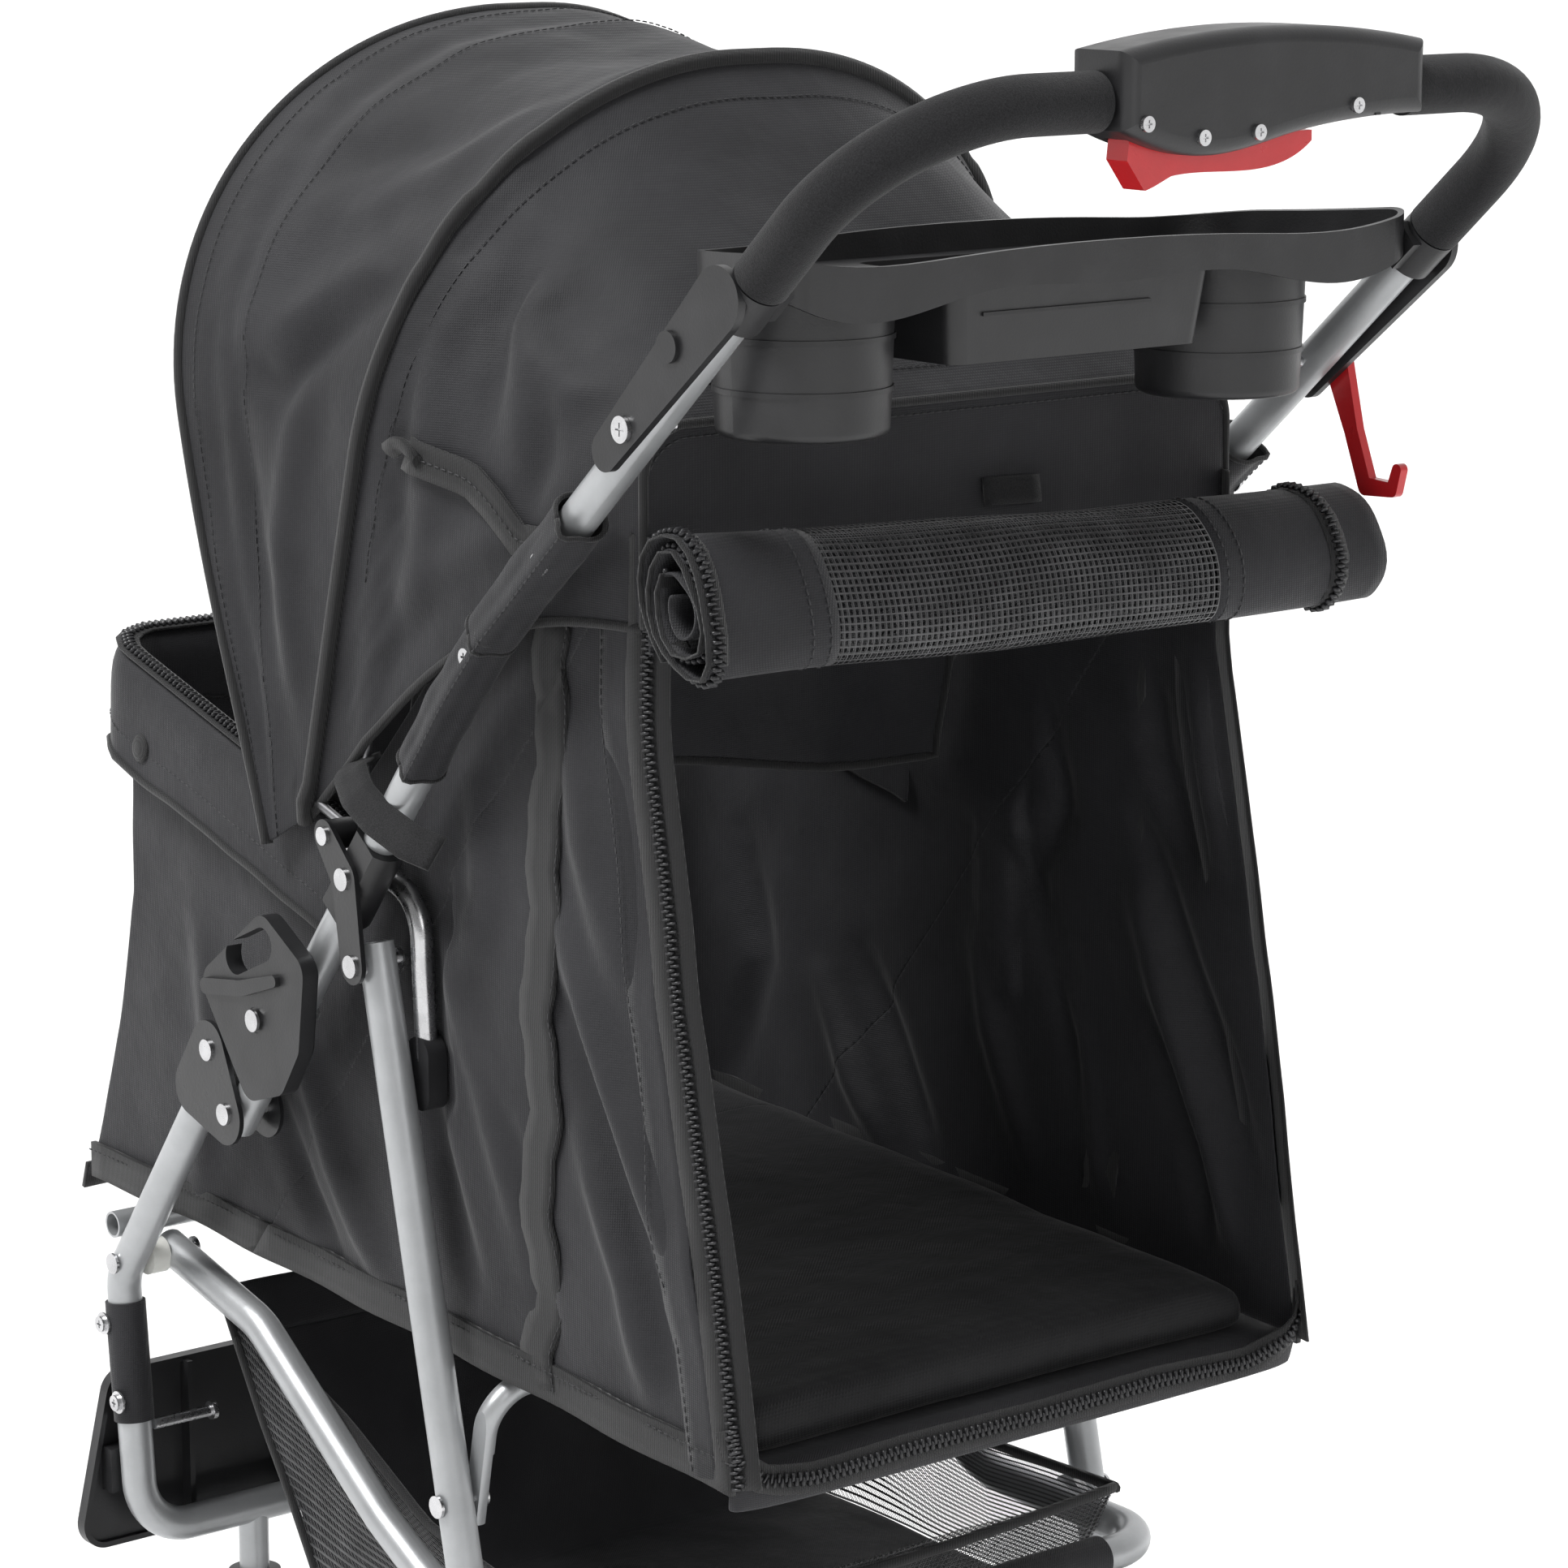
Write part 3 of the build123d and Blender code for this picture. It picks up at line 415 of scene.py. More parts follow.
def blocks(name, places, size, material):
    """Many small pillow-shaped blocks in one piece: places are (centre, way, normal)."""
    verts = []
    faces = []
    for centre, way, normal in places:
        side = way.cross(normal).normalized()
        start = len(verts)
        for level, share in ((-1, 0.8), (0, 1.0), (1, 0.7)):
            for a, b in ((-1, -1), (1, -1), (1, 1), (-1, 1)):
                verts.append(centre + way * (a * share * size[0] / 2) + side * (b * share * size[1] / 2)
                             + normal * (level * size[2] / 2))
        for level in (0, 4):
            for k in range(4):
                n = (k + 1) % 4
                faces.append((start + level + k, start + level + n, start + level + 4 + n, start + level + 4 + k))
        faces.append((start + 3, start + 2, start + 1, start))
        faces.append((start + 8, start + 9, start + 10, start + 11))
    return new_piece(name, verts, faces, material)


def stitches(name, points, normal, pitch=0.0045):
    """Row of short sewn stitches along points."""
    path = resample(points, pitch)
    places = []
    for a, b in zip(path, path[1:]):
        way = (b - a).normalized()
        places.append(((a + b) / 2, way, Vector(normal).normalized()))
    return blocks(name, places, (pitch * 0.68, 0.0007, 0.0006), THREAD)


def zipper(name, points, facing, tape_width=0.022):
    """Coil zipper: cloth tape and two rows of interlocked coil elements.
    facing gives the way the zipper faces at a point."""
    tape_path = resample(points, 0.010)
    tape = ribbon(f"{name}_tape", tape_path, [facing(p) for p in tape_path], tape_width, BINDING, 0.001)
    places = []
    path = resample(points, 0.0019)
    for i, (a, b) in enumerate(zip(path, path[1:])):
        way = (b - a).normalized()
        normal = facing(a).normalized()
        side = way.cross(normal).normalized()
        places.append(((a + b) / 2 + normal * 0.0016 + side * (0.0011 if i % 2 else -0.0011), side, normal))
    return [tape, blocks(f"{name}_coil", places, (0.0046, 0.0013, 0.0026), ZIP_TEETH)]


def coons(bottom, top, front, rear, across, up):
    """Rows of points filling four edge polylines; rows run from bottom to top."""
    corners = [Vector(front[0]), Vector(rear[0]), Vector(front[-1]), Vector(rear[-1])]
    rows = []
    for j in range(up + 1):
        t = j / up
        row = []
        for i in range(across + 1):
            s = i / across
            edge = along(bottom, s) * (1 - t) + along(top, s) * t + along(front, t) * (1 - s) + along(rear, t) * s
            flat = (corners[0] * (1 - s) + corners[1] * s) * (1 - t) + (corners[2] * (1 - s) + corners[3] * s) * t
            row.append(edge - flat)
        rows.append(row)
    return rows


def outward_from(p, height):
    """Way from the cloth arch's lengthwise axis, at that height, to a point."""
    return (p - Vector((0, p.y, height))).normalized()


def rim_z(y):
    """Height of the sloping front rim at a place along the cabin."""
    return 0.590 - (y + 0.024) * 0.292


def ripple(p, scale, size, seed=0.0):
    """Signed soft wrinkle height at a point."""
    return size * noise.noise(Vector((p.x * scale + seed, p.y * scale, p.z * scale)))


def crease(p, line, width, height):
    """Height at p of a soft ridge (or, below zero, a groove) along a side-view line that fades at its ends."""
    best = 1.0
    share = 0.0
    total = len(line) - 1
    for i, (a, b) in enumerate(zip(line, line[1:])):
        ay, az = p.y - a[0], p.z - a[1]
        by, bz = b[0] - a[0], b[1] - a[1]
        t = max(0.0, min(1.0, (ay * by + az * bz) / (by * by + bz * bz)))
        away = ((ay - by * t) ** 2 + (az - bz * t) ** 2) ** 0.5
        if away < best:
            best = away
            share = (i + t) / total
    return CREASE_DEPTH * height * sin(pi * (0.06 + 0.88 * share)) ** 0.6 * exp(-(best / width) ** 2)


def surface_of(name):
    """Search tree over a CAD node's faces, to ask where they are without touching them."""
    node = frame["nodes"][name]
    spots = [node.matrix_world @ v.co for v in node.data.vertices]
    return BVHTree.FromPolygons(spots, [tuple(face.vertices) for face in node.data.polygons])


def clear_of(rows, names, axis_z, gap=0.0028):
    """Push sheet points outwards over the wires that the sheet lies on."""
    trees = [surface_of(name) for name in names]
    for row in rows:
        for p in row:
            out = outward_from(p, axis_z)
            need = 0.0
            for step in (-0.012, -0.008, -0.004, 0.0, 0.004, 0.008, 0.012):
                axis = Vector((0, p.y + step, axis_z))
                for tree in trees:
                    hit = tree.ray_cast(axis + out * 0.4, -out, 0.4)[0]
                    if hit:
                        need = max(need, (hit - axis).length + gap - 0.45 * max(0.0, abs(step) - 0.004))
            have = (p - Vector((0, p.y, axis_z))).length
            if have < need < have + 0.030:
                p += out * (need - have)


def clear_inside(rows, names, gap=0.0022):
    """Hold wall points inside the tubes that pass along the wall's outer face."""
    trees = [surface_of(name) for name in names]
    for row in rows:
        for p in row:
            flip = 1.0 if p.x > 0 else -1.0
            limit = 1.0
            for dy in (-0.010, -0.005, 0.0, 0.005, 0.010):
                for dz in (-0.008, 0.0, 0.008):
                    start = Vector((flip * 0.13, p.y + dy, p.z + dz))
                    for tree in trees:
                        hit = tree.ray_cast(start, Vector((flip, 0, 0)), 0.10)[0]
                        if hit:
                            slack = 0.35 * max(0.0, abs(dy) + abs(dz) - 0.005)
                            limit = min(limit, abs(hit.x) - gap + slack)
            if limit > 0.155:
                p.x = flip * min(abs(p.x), limit)


def creases(p, lines):
    return sum(crease(p, line, width, height) for line, width, height in lines)


def halves(piece):
    """Cut a piece at the plane through the rear pivot where cloth starts to crumple as the frame folds.
    The part ahead stays with the handle frame; the part behind is attached to the handle frame too, with a mesh of
    its own."""
    made = []
    for word, keep_ahead in (("ahead", True), ("behind", False)):
        mesh = bmesh.new()
        mesh.from_mesh(piece.data)
        geometry = mesh.verts[:] + mesh.edges[:] + mesh.faces[:]
        cut = bmesh.ops.bisect_plane(mesh, geom=geometry, plane_co=REAR_PIVOT, plane_no=CRUMPLE_WAY,
                                     clear_inner=keep_ahead, clear_outer=not keep_ahead)
        if not mesh.faces:
            mesh.free()
            continue
        edges = [e for e in cut["geom_cut"] if isinstance(e, bmesh.types.BMEdge)]
        bmesh.ops.holes_fill(mesh, edges=edges)
        bmesh.ops.recalc_face_normals(mesh, faces=mesh.faces)
        half = bpy.data.objects.new(f"{piece.name}_{word}", piece.data.copy())
        mesh.to_mesh(half.data)
        mesh.free()
        bpy.context.scene.collection.objects.link(half)
        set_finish(half, piece["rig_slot"] if "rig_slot" in piece else "cloth_black")
        if keep_ahead:
            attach(half, "handle_frame")
        else:
            crumple(half)
        made.append(half)
    bpy.data.objects.remove(piece)
    return made


def crumple(piece):
    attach(piece, "handle_frame")
    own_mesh(piece)
    return piece


# --- Canopy ---------------------------------------------------------------------------------------

def hoop(base, top, half_width, shoulder, count):
    """Points round an arch, from its left foot over the top to its right foot."""
    base = at(0, base)
    top = at(0, top)
    height = (top - base).length
    way = (top - base).normalized()
    side = height - shoulder
    arc = shoulder * pi / 2
    half_flat = half_width - shoulder
    total = side + arc + half_flat
    points = []
    for k in range(count + 1):
        s = total * (1 - abs(2 * k / count - 1))
        if s < side:
            x, rise = half_width, s
        elif s < side + arc:
            turn = (s - side) / shoulder
            x, rise = half_flat + shoulder * cos(turn), side + shoulder * sin(turn)
        else:
            x, rise = half_flat - (s - side - arc), height
        points.append(base + way * rise + Vector((x if k <= count / 2 else -x, 0, 0)))
    return points


def mix(a, b, t):
    if isinstance(a, tuple):
        return tuple(mix(u, v, t) for u, v in zip(a, b))
    return a + (b - a) * t


REAR_BOW = ((-0.098, 0.620), (0.002, 0.982), 0.1965, 0.186)
FRONT_BOW = ((-0.126, 0.606), (-0.1900, 0.9965), 0.2000, 0.190)
HEADER = ((0.148, 0.744), (0.148, 0.834), 0.1765, 0.024)
CREASE_DEPTH = 1.35
CANOPY_FOLDS = [
    ([(0.001, 0.971), (-0.031, 0.955), (-0.049, 0.937), (-0.097, 0.913)], 0.010, 0.0060),
    ([(-0.140, 0.839), (-0.118, 0.826), (-0.091, 0.854), (-0.032, 0.888)], 0.009, -0.0065),
    ([(-0.128, 0.852), (-0.096, 0.872), (-0.050, 0.900)], 0.012, 0.0050),
    ([(-0.073, 0.902), (-0.049, 0.892)], 0.006, -0.0045),
    ([(-0.120, 0.700), (-0.140, 0.760), (-0.150, 0.830)], 0.012, -0.0050),
    ([(-0.105, 0.680), (-0.112, 0.760), (-0.100, 0.830)], 0.010, 0.0050),
    ([(-0.060, 0.955), (-0.100, 0.948), (-0.150, 0.925)], 0.012, -0.0050),
]
HOOD_FOLDS = [
    ([(0.021, 0.901), (0.026, 0.878), (0.035, 0.853), (0.037, 0.820)], 0.009, -0.0080),
    ([(0.044, 0.891), (0.042, 0.872), (0.056, 0.851), (0.066, 0.815)], 0.010, 0.0085),
    ([(0.000, 0.890), (-0.006, 0.850), (0.002, 0.800), (-0.010, 0.740)], 0.010, 0.0070),
    ([(-0.020, 0.860), (-0.030, 0.800), (-0.028, 0.730)], 0.010, -0.0070),
    ([(0.060, 0.861), (0.085, 0.842), (0.110, 0.848)], 0.009, 0.0065),
    ([(0.076, 0.835), (0.079, 0.815), (0.070, 0.780)], 0.009, -0.0070),
    ([(-0.050, 0.780), (-0.020, 0.742), (0.040, 0.770), (0.100, 0.800)], 0.011, 0.0055),
    ([(-0.085, 0.700), (-0.060, 0.690), (0.000, 0.728)], 0.010, -0.0060),
    ([(-0.060, 0.850), (-0.062, 0.780), (-0.078, 0.700)], 0.012, 0.0055),
]
WALL_FOLDS = [
    ([(-0.001, 0.566), (0.030, 0.510), (0.062, 0.429)], 0.011, 0.0070),
    ([(0.015, 0.540), (0.048, 0.480), (0.070, 0.400)], 0.008, -0.0060),
    ([(0.090, 0.600), (0.127, 0.533), (0.178, 0.441)], 0.010, 0.0075),
    ([(0.090, 0.560), (0.130, 0.480), (0.165, 0.400)], 0.009, -0.0070),
    ([(0.100, 0.500), (0.135, 0.440), (0.150, 0.385)], 0.009, 0.0060),
    ([(-0.031, 0.520), (-0.020, 0.470), (0.010, 0.410)], 0.010, -0.0065),
    ([(-0.132, 0.490), (-0.100, 0.440), (-0.068, 0.392)], 0.011, 0.0070),
    ([(-0.165, 0.470), (-0.135, 0.420), (-0.105, 0.385)], 0.009, -0.0060),
    ([(0.095, 0.700), (0.105, 0.640), (0.130, 0.585)], 0.012, 0.0060),
    ([(0.125, 0.720), (0.140, 0.650), (0.150, 0.590)], 0.009, -0.0050),
    ([(-0.230, 0.540), (-0.215, 0.470), (-0.240, 0.400)], 0.012, 0.0050),
    ([(0.020, 0.650), (0.030, 0.600), (0.010, 0.560)], 0.010, 0.0050),
]
FLAP_PATH = [(0.20, 0.175), (0.24, 0.165), (0.42, 0.135), (0.55, 0.105), (0.62, 0.070), (0.80, 0.060)]
STRAP_LINE = [(0.064, 0.369), (0.068, 0.440), (0.071, 0.517), (0.075, 0.620), (0.080, 0.740)]


def front_bulge(t):
    """How far the front hem stands ahead of its bow at share t of the way up."""
    return 0.034 * sin(pi * min(1.0, t * 1.06)) ** 1.2 if t < 0.94 else 0.0


def make_canopy():
    """Cover between the two bows, with a wired front hem and a second seam behind it."""
    last = 26
    rows = []
    for r in range(last + 1):
        v = r / last
        spec = tuple(mix(a, b, v) for a, b in zip(REAR_BOW, FRONT_BOW))
        row = []
        for k, p in enumerate(hoop(*spec, ARCH_STEPS)):
            share = 1 - abs(2 * k / ARCH_STEPS - 1)
            p = p.copy()
            p.y -= front_bulge(share) * v ** 1.5
            valley = -0.0045 * exp(-((v - 0.80) / 0.06) ** 2) * min(1.0, share * 5)
            sag = -0.006 * sin(pi * min(1.0, v / 0.72)) * (0.3 + 0.7 * share) if v < 0.72 else 0.0
            out = outward_from(p, CANOPY_AXIS_Z)
            loose = sin(pi * v) ** 0.7
            fold = loose * (ripple(p, 16, 0.004, 3.0) + ripple(p, 40, 0.0016, 8.0))
            if abs(p.x) > 0.05:
                fold += loose * creases(Vector((0, p.y - (0.012 if p.x <= 0 else 0.0), p.z)), CANOPY_FOLDS)
            p += out * (sag + valley + fold + 0.0035 * v)
            row.append(p)
        rows.append(row)
    clear_of(rows, ["canopy_bow_front", "canopy_bow_rear"], CANOPY_AXIS_Z)
    cover = cloth_piece("canopy_cover", rows, CLOTH_BLACK)
    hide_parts("canopy_fabric")
    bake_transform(cover)
    hem = rope("canopy_front_hem", rows[-1], 0.0032, BINDING)
    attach(hem, "canopy")
    for word, r in (("hem", last - 2), ("inner", last - 8)):
        line = [p + outward_from(p, CANOPY_AXIS_Z) * 0.0012 for p in rows[r]]
        piece = stitches(f"canopy_{word}_stitches", line, (0, -0.15, 1))
        if word == "hem":
            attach(piece, "canopy")
        else:
            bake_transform(piece)
    piping = rope("canopy_rear_piping", [p + outward_from(p, CANOPY_AXIS_Z) * 0.002 for p in rows[0]],
                  0.0042, BINDING)
    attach(piping, "handle_frame")


def make_hood():
    """Rear part of the canopy, from the rear bow down to the cabin header."""
    last = 30
    rows = []
    for r in range(last + 1):
        v = r / last
        base = mix(REAR_BOW[0], HEADER[0], v)
        base = (base[0], base[1] + 0.038 * sin(pi * v))
        top = mix(REAR_BOW[1], HEADER[1], v)
        wide = mix(REAR_BOW[2] - 0.0030, HEADER[2], v ** 1.4) + 0.0030 * exp(-v * 22)
        shoulder = mix(REAR_BOW[3], HEADER[3], v ** 1.2)
        row = []
        for k, p in enumerate(hoop(base, top, wide, min(shoulder, wide - 0.001), ARCH_STEPS)):
            share = 1 - abs(2 * k / ARCH_STEPS - 1)
            out = outward_from(p, HOOD_AXIS_Z)
            out.x *= 0.6
            loose = sin(pi * v)
            sag = -0.010 * loose * share
            fold = loose * (ripple(p, 15, 0.004, 1.0) + ripple(p, 38, 0.0016, 5.0)) * (0.4 + 0.6 * share)
            if abs(p.x) > 0.09:
                shifted = Vector((0, p.y + (0.010 if p.x < 0 else 0.0), p.z))
                fold += creases(shifted, HOOD_FOLDS) * min(1.0, loose * 2)
            row.append(p + out * (sag + fold))
        rows.append(row)
    clear_of(rows, ["canopy_bow_rear"], HOOD_AXIS_Z)
    cover = cloth_piece("canopy_hood", rows, CLOTH_BLACK)
    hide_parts("hood_fabric")
    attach(cover, "handle_frame")
    edge = rope("hood_header_piping", rows[-1], 0.0024, BINDING)
    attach(edge, "handle_frame")
    for v in (3, last - 3):
        line = [p + Vector((0, 0, 0.0008)) + outward_from(p, HOOD_AXIS_Z) * 0.001 for p in rows[v]]
        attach(stitches(f"hood_stitches_{v}", line[16:-16], (0, 0, 1)), "handle_frame")
    for word, lower in (("left", 0), ("right", -1)):
        border = [row[lower] for row in rows]
        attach(rope(f"hood_lower_binding_{word}", border, 0.0024, BINDING), "handle_frame")
    make_flap(rows, last)
    return rows


def make_flap(rows, last):
    """Bound edge of the rolled-up window cover on the hood's left side."""
    path = []
    for r, k in FLAP_PATH:
        p = rows[round(r * last)][round(k * ARCH_STEPS)]
        path.append(p + outward_from(p, HOOD_AXIS_Z) * 0.003)
    path = resample(path, 0.008)
    normals = [outward_from(p, HOOD_AXIS_Z) for p in path]
    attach(ribbon("hood_flap_binding", path, normals, 0.016, BINDING, 0.0022), "handle_frame")
    line = [p + n * 0.0016 for p, n in zip(path, normals)]
    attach(stitches("hood_flap_stitches", line, (1, 0, 0.3)), "handle_frame")
    start = path[0]
    roll = [start + Vector((0.002, -0.012 + 0.006 * k, 0.004 * sin(k))) for k in range(5)]
    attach(rope("hood_flap_tab", roll, 0.005, BINDING, flatten=0.6), "handle_frame")


# --- Cabin ----------------------------------------------------------------------------------------

HEM = [(-0.347, 0.384), (-0.250, 0.3835), (-0.038, 0.3735), (0.051, 0.3690), (0.161, 0.3625), (0.212, 0.3605)]
REAR_EDGE = [(0.212, 0.3605), (0.192, 0.470), (0.166, 0.600), (0.146, 0.700), (0.147, 0.786)]
FRONT_EDGE = [(-0.347, 0.384), (-0.345, 0.396), (-0.318, 0.470), (-0.296, 0.547), (-0.297, 0.600), (-0.300, 0.660)]
TOP_EDGE = [(-0.300, 0.660), (-0.180, 0.638), (-0.075, 0.640), (0.010, 0.735), (0.080, 0.775), (0.147, 0.786)]


def wall_out(p):
    """Sideways stand of a cabin wall at a side-view place: slack cloth bellies between its held edges."""
    belly = sin(pi * max(0.0, min(1.0, (p.z - 0.365) / 0.34)))
    along_wall = sin(pi * max(0.0, min(1.0, (p.y + 0.35) / 0.56)))
    slack = 0.0055 * belly * along_wall
    near_rim = exp(-((p.z - rim_z(p.y)) / 0.018) ** 2) if p.y < 0 else 0.0
    folds = ripple(p, 11, 0.0035, 2.0) + ripple(p, 28, 0.0014, 6.0)
    deep = creases(p, WALL_FOLDS) * min(1.0, belly * 2.5 + 0.1)
    return (slack + folds * belly + deep) * (1 - near_rim) - 0.0015 * near_rim


def wall_x(y, z, side):
    """X of the cabin wall on a side, drawn in under the hood near its top."""
    x = CABIN_X - 0.0012 + wall_out(Vector((side * 0.37, y, z)))
    v = max(0.0, min(1.0, (y - REAR_BOW[0][0]) / (HEADER[0][0] - REAR_BOW[0][0])))
    hood_low = mix(REAR_BOW[0][1], HEADER[0][1], v) - 0.02
    limit = mix(REAR_BOW[2] - 0.0066, HEADER[2], v) - 0.004
    if z > hood_low:
        x = mix(x, min(x, limit), min(1.0, (z - hood_low) / 0.03))
    return x


def make_walls():
    for word, side in (("left", 1), ("right", -1)):
        edges = [[at(0, p) for p in edge] for edge in (HEM, TOP_EDGE, FRONT_EDGE, REAR_EDGE)]
        rows = coons(*edges, 112, 72)
        for row in rows:
            for p in row:
                p.x = side * wall_x(p.y, p.z, side)
        clear_inside(rows, ["rim_tube", "rim_end_clips"])
        wall = grid(f"cabin_wall_{word}", rows, CLOTH_BLACK)
        thicken(wall)
        made = halves(wall)
        for half in made:
            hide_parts(f"cabin_side_{word}")
        hem = [at(side * (CABIN_X + 0.0012 + 0.0012 * sin(y * 60)), (y, z + 0.006)) for y, z in
               [(q.y, q.z) for q in resample([at(0, q) for q in HEM], 0.012)]]
        halves(ribbon(f"cabin_hem_{word}", hem, (side, 0, 0), 0.019, BINDING, 0.003))
        row = [at(side * (CABIN_X + 0.0032), (p.y, p.z + 0.006)) for p in hem]
        halves(stitches(f"cabin_hem_stitches_{word}", row, (side, 0, 0)))
        rear = [(q.y, q.z) for q in resample([at(0, q) for q in REAR_EDGE], 0.02)]
        zip_line = [at(side * (wall_x(y, z, side) + 0.0010), (y + 0.003, z)) for y, z in rear]
        for piece in zipper(f"door_zip_{word}", zip_line, lambda p: Vector((side, 0.5, 0))):
            halves(piece)
        guard = [at(side * (wall_x(y - 0.019, z, side) + 0.0024), (y - 0.019, z)) for y, z in rear]
        halves(ribbon(f"door_zip_guard_{word}", resample(guard, 0.02), (side, 0, 0), 0.024, CLOTH_BLACK, 0.0016))
        for shift in (-0.0085, -0.029):
            band = [at(side * (wall_x(y + shift, z, side) + 0.0036), (y + shift, z)) for y, z in rear]
            halves(stitches(f"door_zip_stitches_{word}{'_outer' if shift < -0.02 else ''}", band, (side, 0, 0)))
        strap = []
        for p in resample([at(0, q) for q in STRAP_LINE], 0.009):
            sway = 0.0028 * sin(p.z * 75 + 1.0) + 0.0014 * sin(p.z * 190)
            strap.append(at(side * (wall_x(p.y, p.z, side) + 0.0022), (p.y + sway, p.z)))
        halves(ribbon(f"cabin_strap_{word}", strap, (side, 0, 0), 0.024, WEBBING, 0.0018))
        edge = [p + Vector((side * 0.0012, 0.0115, 0)) for p in strap]
        halves(stitches(f"cabin_strap_stitches_{word}", edge, (side, 0, 0)))
    make_sill()


def make_sill():
    """Raised cloth lip behind the floor, with the door zipper's lower run along it."""
    half = CABIN_X
    path = [(half, 0.2085, 0.388), (half - 0.002, 0.2130, 0.372), (half - 0.014, 0.2155, 0.3625),
            (half - 0.040, 0.2165, 0.3580), (half - 0.100, 0.2170, 0.3600), (0, 0.2170, 0.3590)]
    path += [(-x, y, z + 0.0015 * sin(x * 40)) for x, y, z in reversed(path[:-1])]
    rows = []
    points = resample(path, 0.008)
    for t in range(6):
        drop = t / 5
        rows.append([Vector((p.x * (1 - 0.006 * drop), p.y - 0.004 * drop + 0.0015 * sin(pi * drop),
                             mix(p.z, 0.3475, drop))) for p in points])
    lip = cloth_piece("door_sill", rows, CLOTH_BLACK)
    crumple(lip)

    def facing(p):
        turn = max(0.0, min(1.0, (abs(p.x) - half + 0.03) / 0.03))
        return Vector(((1 if p.x > 0 else -1) * turn, 1.0, 0.25 * (1 - turn)))

    lifted = [p + facing(p).normalized() * 0.0012 for p in points]
    for piece in zipper("door_zip_sill", lifted, facing, 0.014):
        crumple(piece)


def make_front():
    half = CABIN_X - 0.003
    profile = [(-0.3655, 0.3700), (-0.3580, 0.3820), (-0.3480, 0.3960), (-0.3200, 0.4700),
               (-0.2975, 0.5470), (-0.2990, 0.6050), (-0.3005, 0.6600)]
    rows = []
    for p in resample([at(0, q) for q in profile], 0.008):
        row = []
        for k in range(41):
            x = half * (2 * k / 40 - 1)
            dome = 1 - (x / half) ** 4
            wave = ripple(Vector((x, p.y, p.z)), 14, 0.004, 4.0) * dome
            row.append(Vector((x, max(-0.3675, p.y - 0.002 * dome + wave), p.z)))
        rows.append(row)
    front = cloth_piece("cabin_front_panel", rows, CLOTH_BLACK)
    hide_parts("cabin_front")
    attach(front, "handle_frame")
    hem = ribbon("cabin_front_hem", [rows[1][k] + Vector((0, -0.0008, 0)) for k in range(0, 41, 2)],
                 (0, -1, 0.3), 0.015, BINDING, 0.0024)
    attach(hem, "handle_frame")


def make_collar():
    """Cloth collar folded outwards over the front rim."""
    path = [(RIM_X, -0.085), (RIM_X, -0.285), (RIM_X - 0.006, -0.299), (RIM_X - 0.020, -0.305)]
    path += [(-x, y) for x, y in reversed(path)]
    path = [Vector((x, y, rim_z(y))) for x, y in path]
    points = resample(path, 0.008)
    profile = [(-0.0080, -0.030), (-0.0085, -0.010), (-0.0075, 0.002), (-0.0040, 0.0075), (0.0, 0.0088),
               (0.0045, 0.0072), (0.0078, 0.0), (0.0088, -0.014), (0.0090, -0.030), (0.0098, -0.046)]
    rows = []
    count = len(points)
    for i, p in enumerate(points):
        way = (points[min(i + 1, count - 1)] - points[max(i - 1, 0)]).normalized()
        out = Vector((way.y, -way.x, 0)).normalized() * -1
        if out.dot(Vector((p.x, p.y + 0.1, 0))) < 0:
            out.negate()
        row = []
        for side, rise in profile:
            wave = ripple(p, 22, 0.006, 9.0) * (0.0 if rise > -0.012 else 1.0)
            row.append(p + out * (side + (wave * 0.25 if side > 0 else 0)) + Vector((0, 0, rise + wave * 0.8)))
        rows.append(row)
    collar = cloth_piece("rim_collar", rows, CLOTH_BLACK)
    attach(collar, "handle_frame")
    outer = [row[-1] + Vector((0, 0, 0.001)) for row in rows]
    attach(rope("rim_collar_binding", outer, 0.0022, BINDING), "handle_frame")
    crest = [row[4] + Vector((0, 0, 0.0016)) for row in rows]
    for piece in zipper("rim_collar_zip", crest, lambda p: Vector((0, 0.1, 1)), 0.012):
        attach(piece, "handle_frame")
    hem = [row[-2] + Vector((0, 0, 0.001)) + (row[-2] - row[1]).normalized() * 0.0009 for row in rows]
    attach(stitches("rim_collar_stitches", hem, (0, 0, 1)), "handle_frame")
    for word, side in (("left", 1), ("right", -1)):
        snap_button(f"rim_snap_{word}", (side * (RIM_X + 0.0092), -0.262, 0.629), (side, 0, 0.1))
    make_front_flap()


def snap_button(name, place, facing):
    """Round cloth-covered snap."""
    bpy.ops.mesh.primitive_uv_sphere_add(segments=28, ring_count=14, radius=0.0075, location=place)
    button = bpy.context.object
    button.name = name
    button.rotation_euler = Vector(facing).to_track_quat("Z", "Y").to_euler()
    button.scale = (1, 1, 0.28)
    bpy.ops.object.transform_apply(location=False, rotation=False, scale=True)
    button.data.materials.append(BINDING)
    for face in button.data.polygons:
        face.use_smooth = True
    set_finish(button, "cloth_black")
    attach(button, "handle_frame")


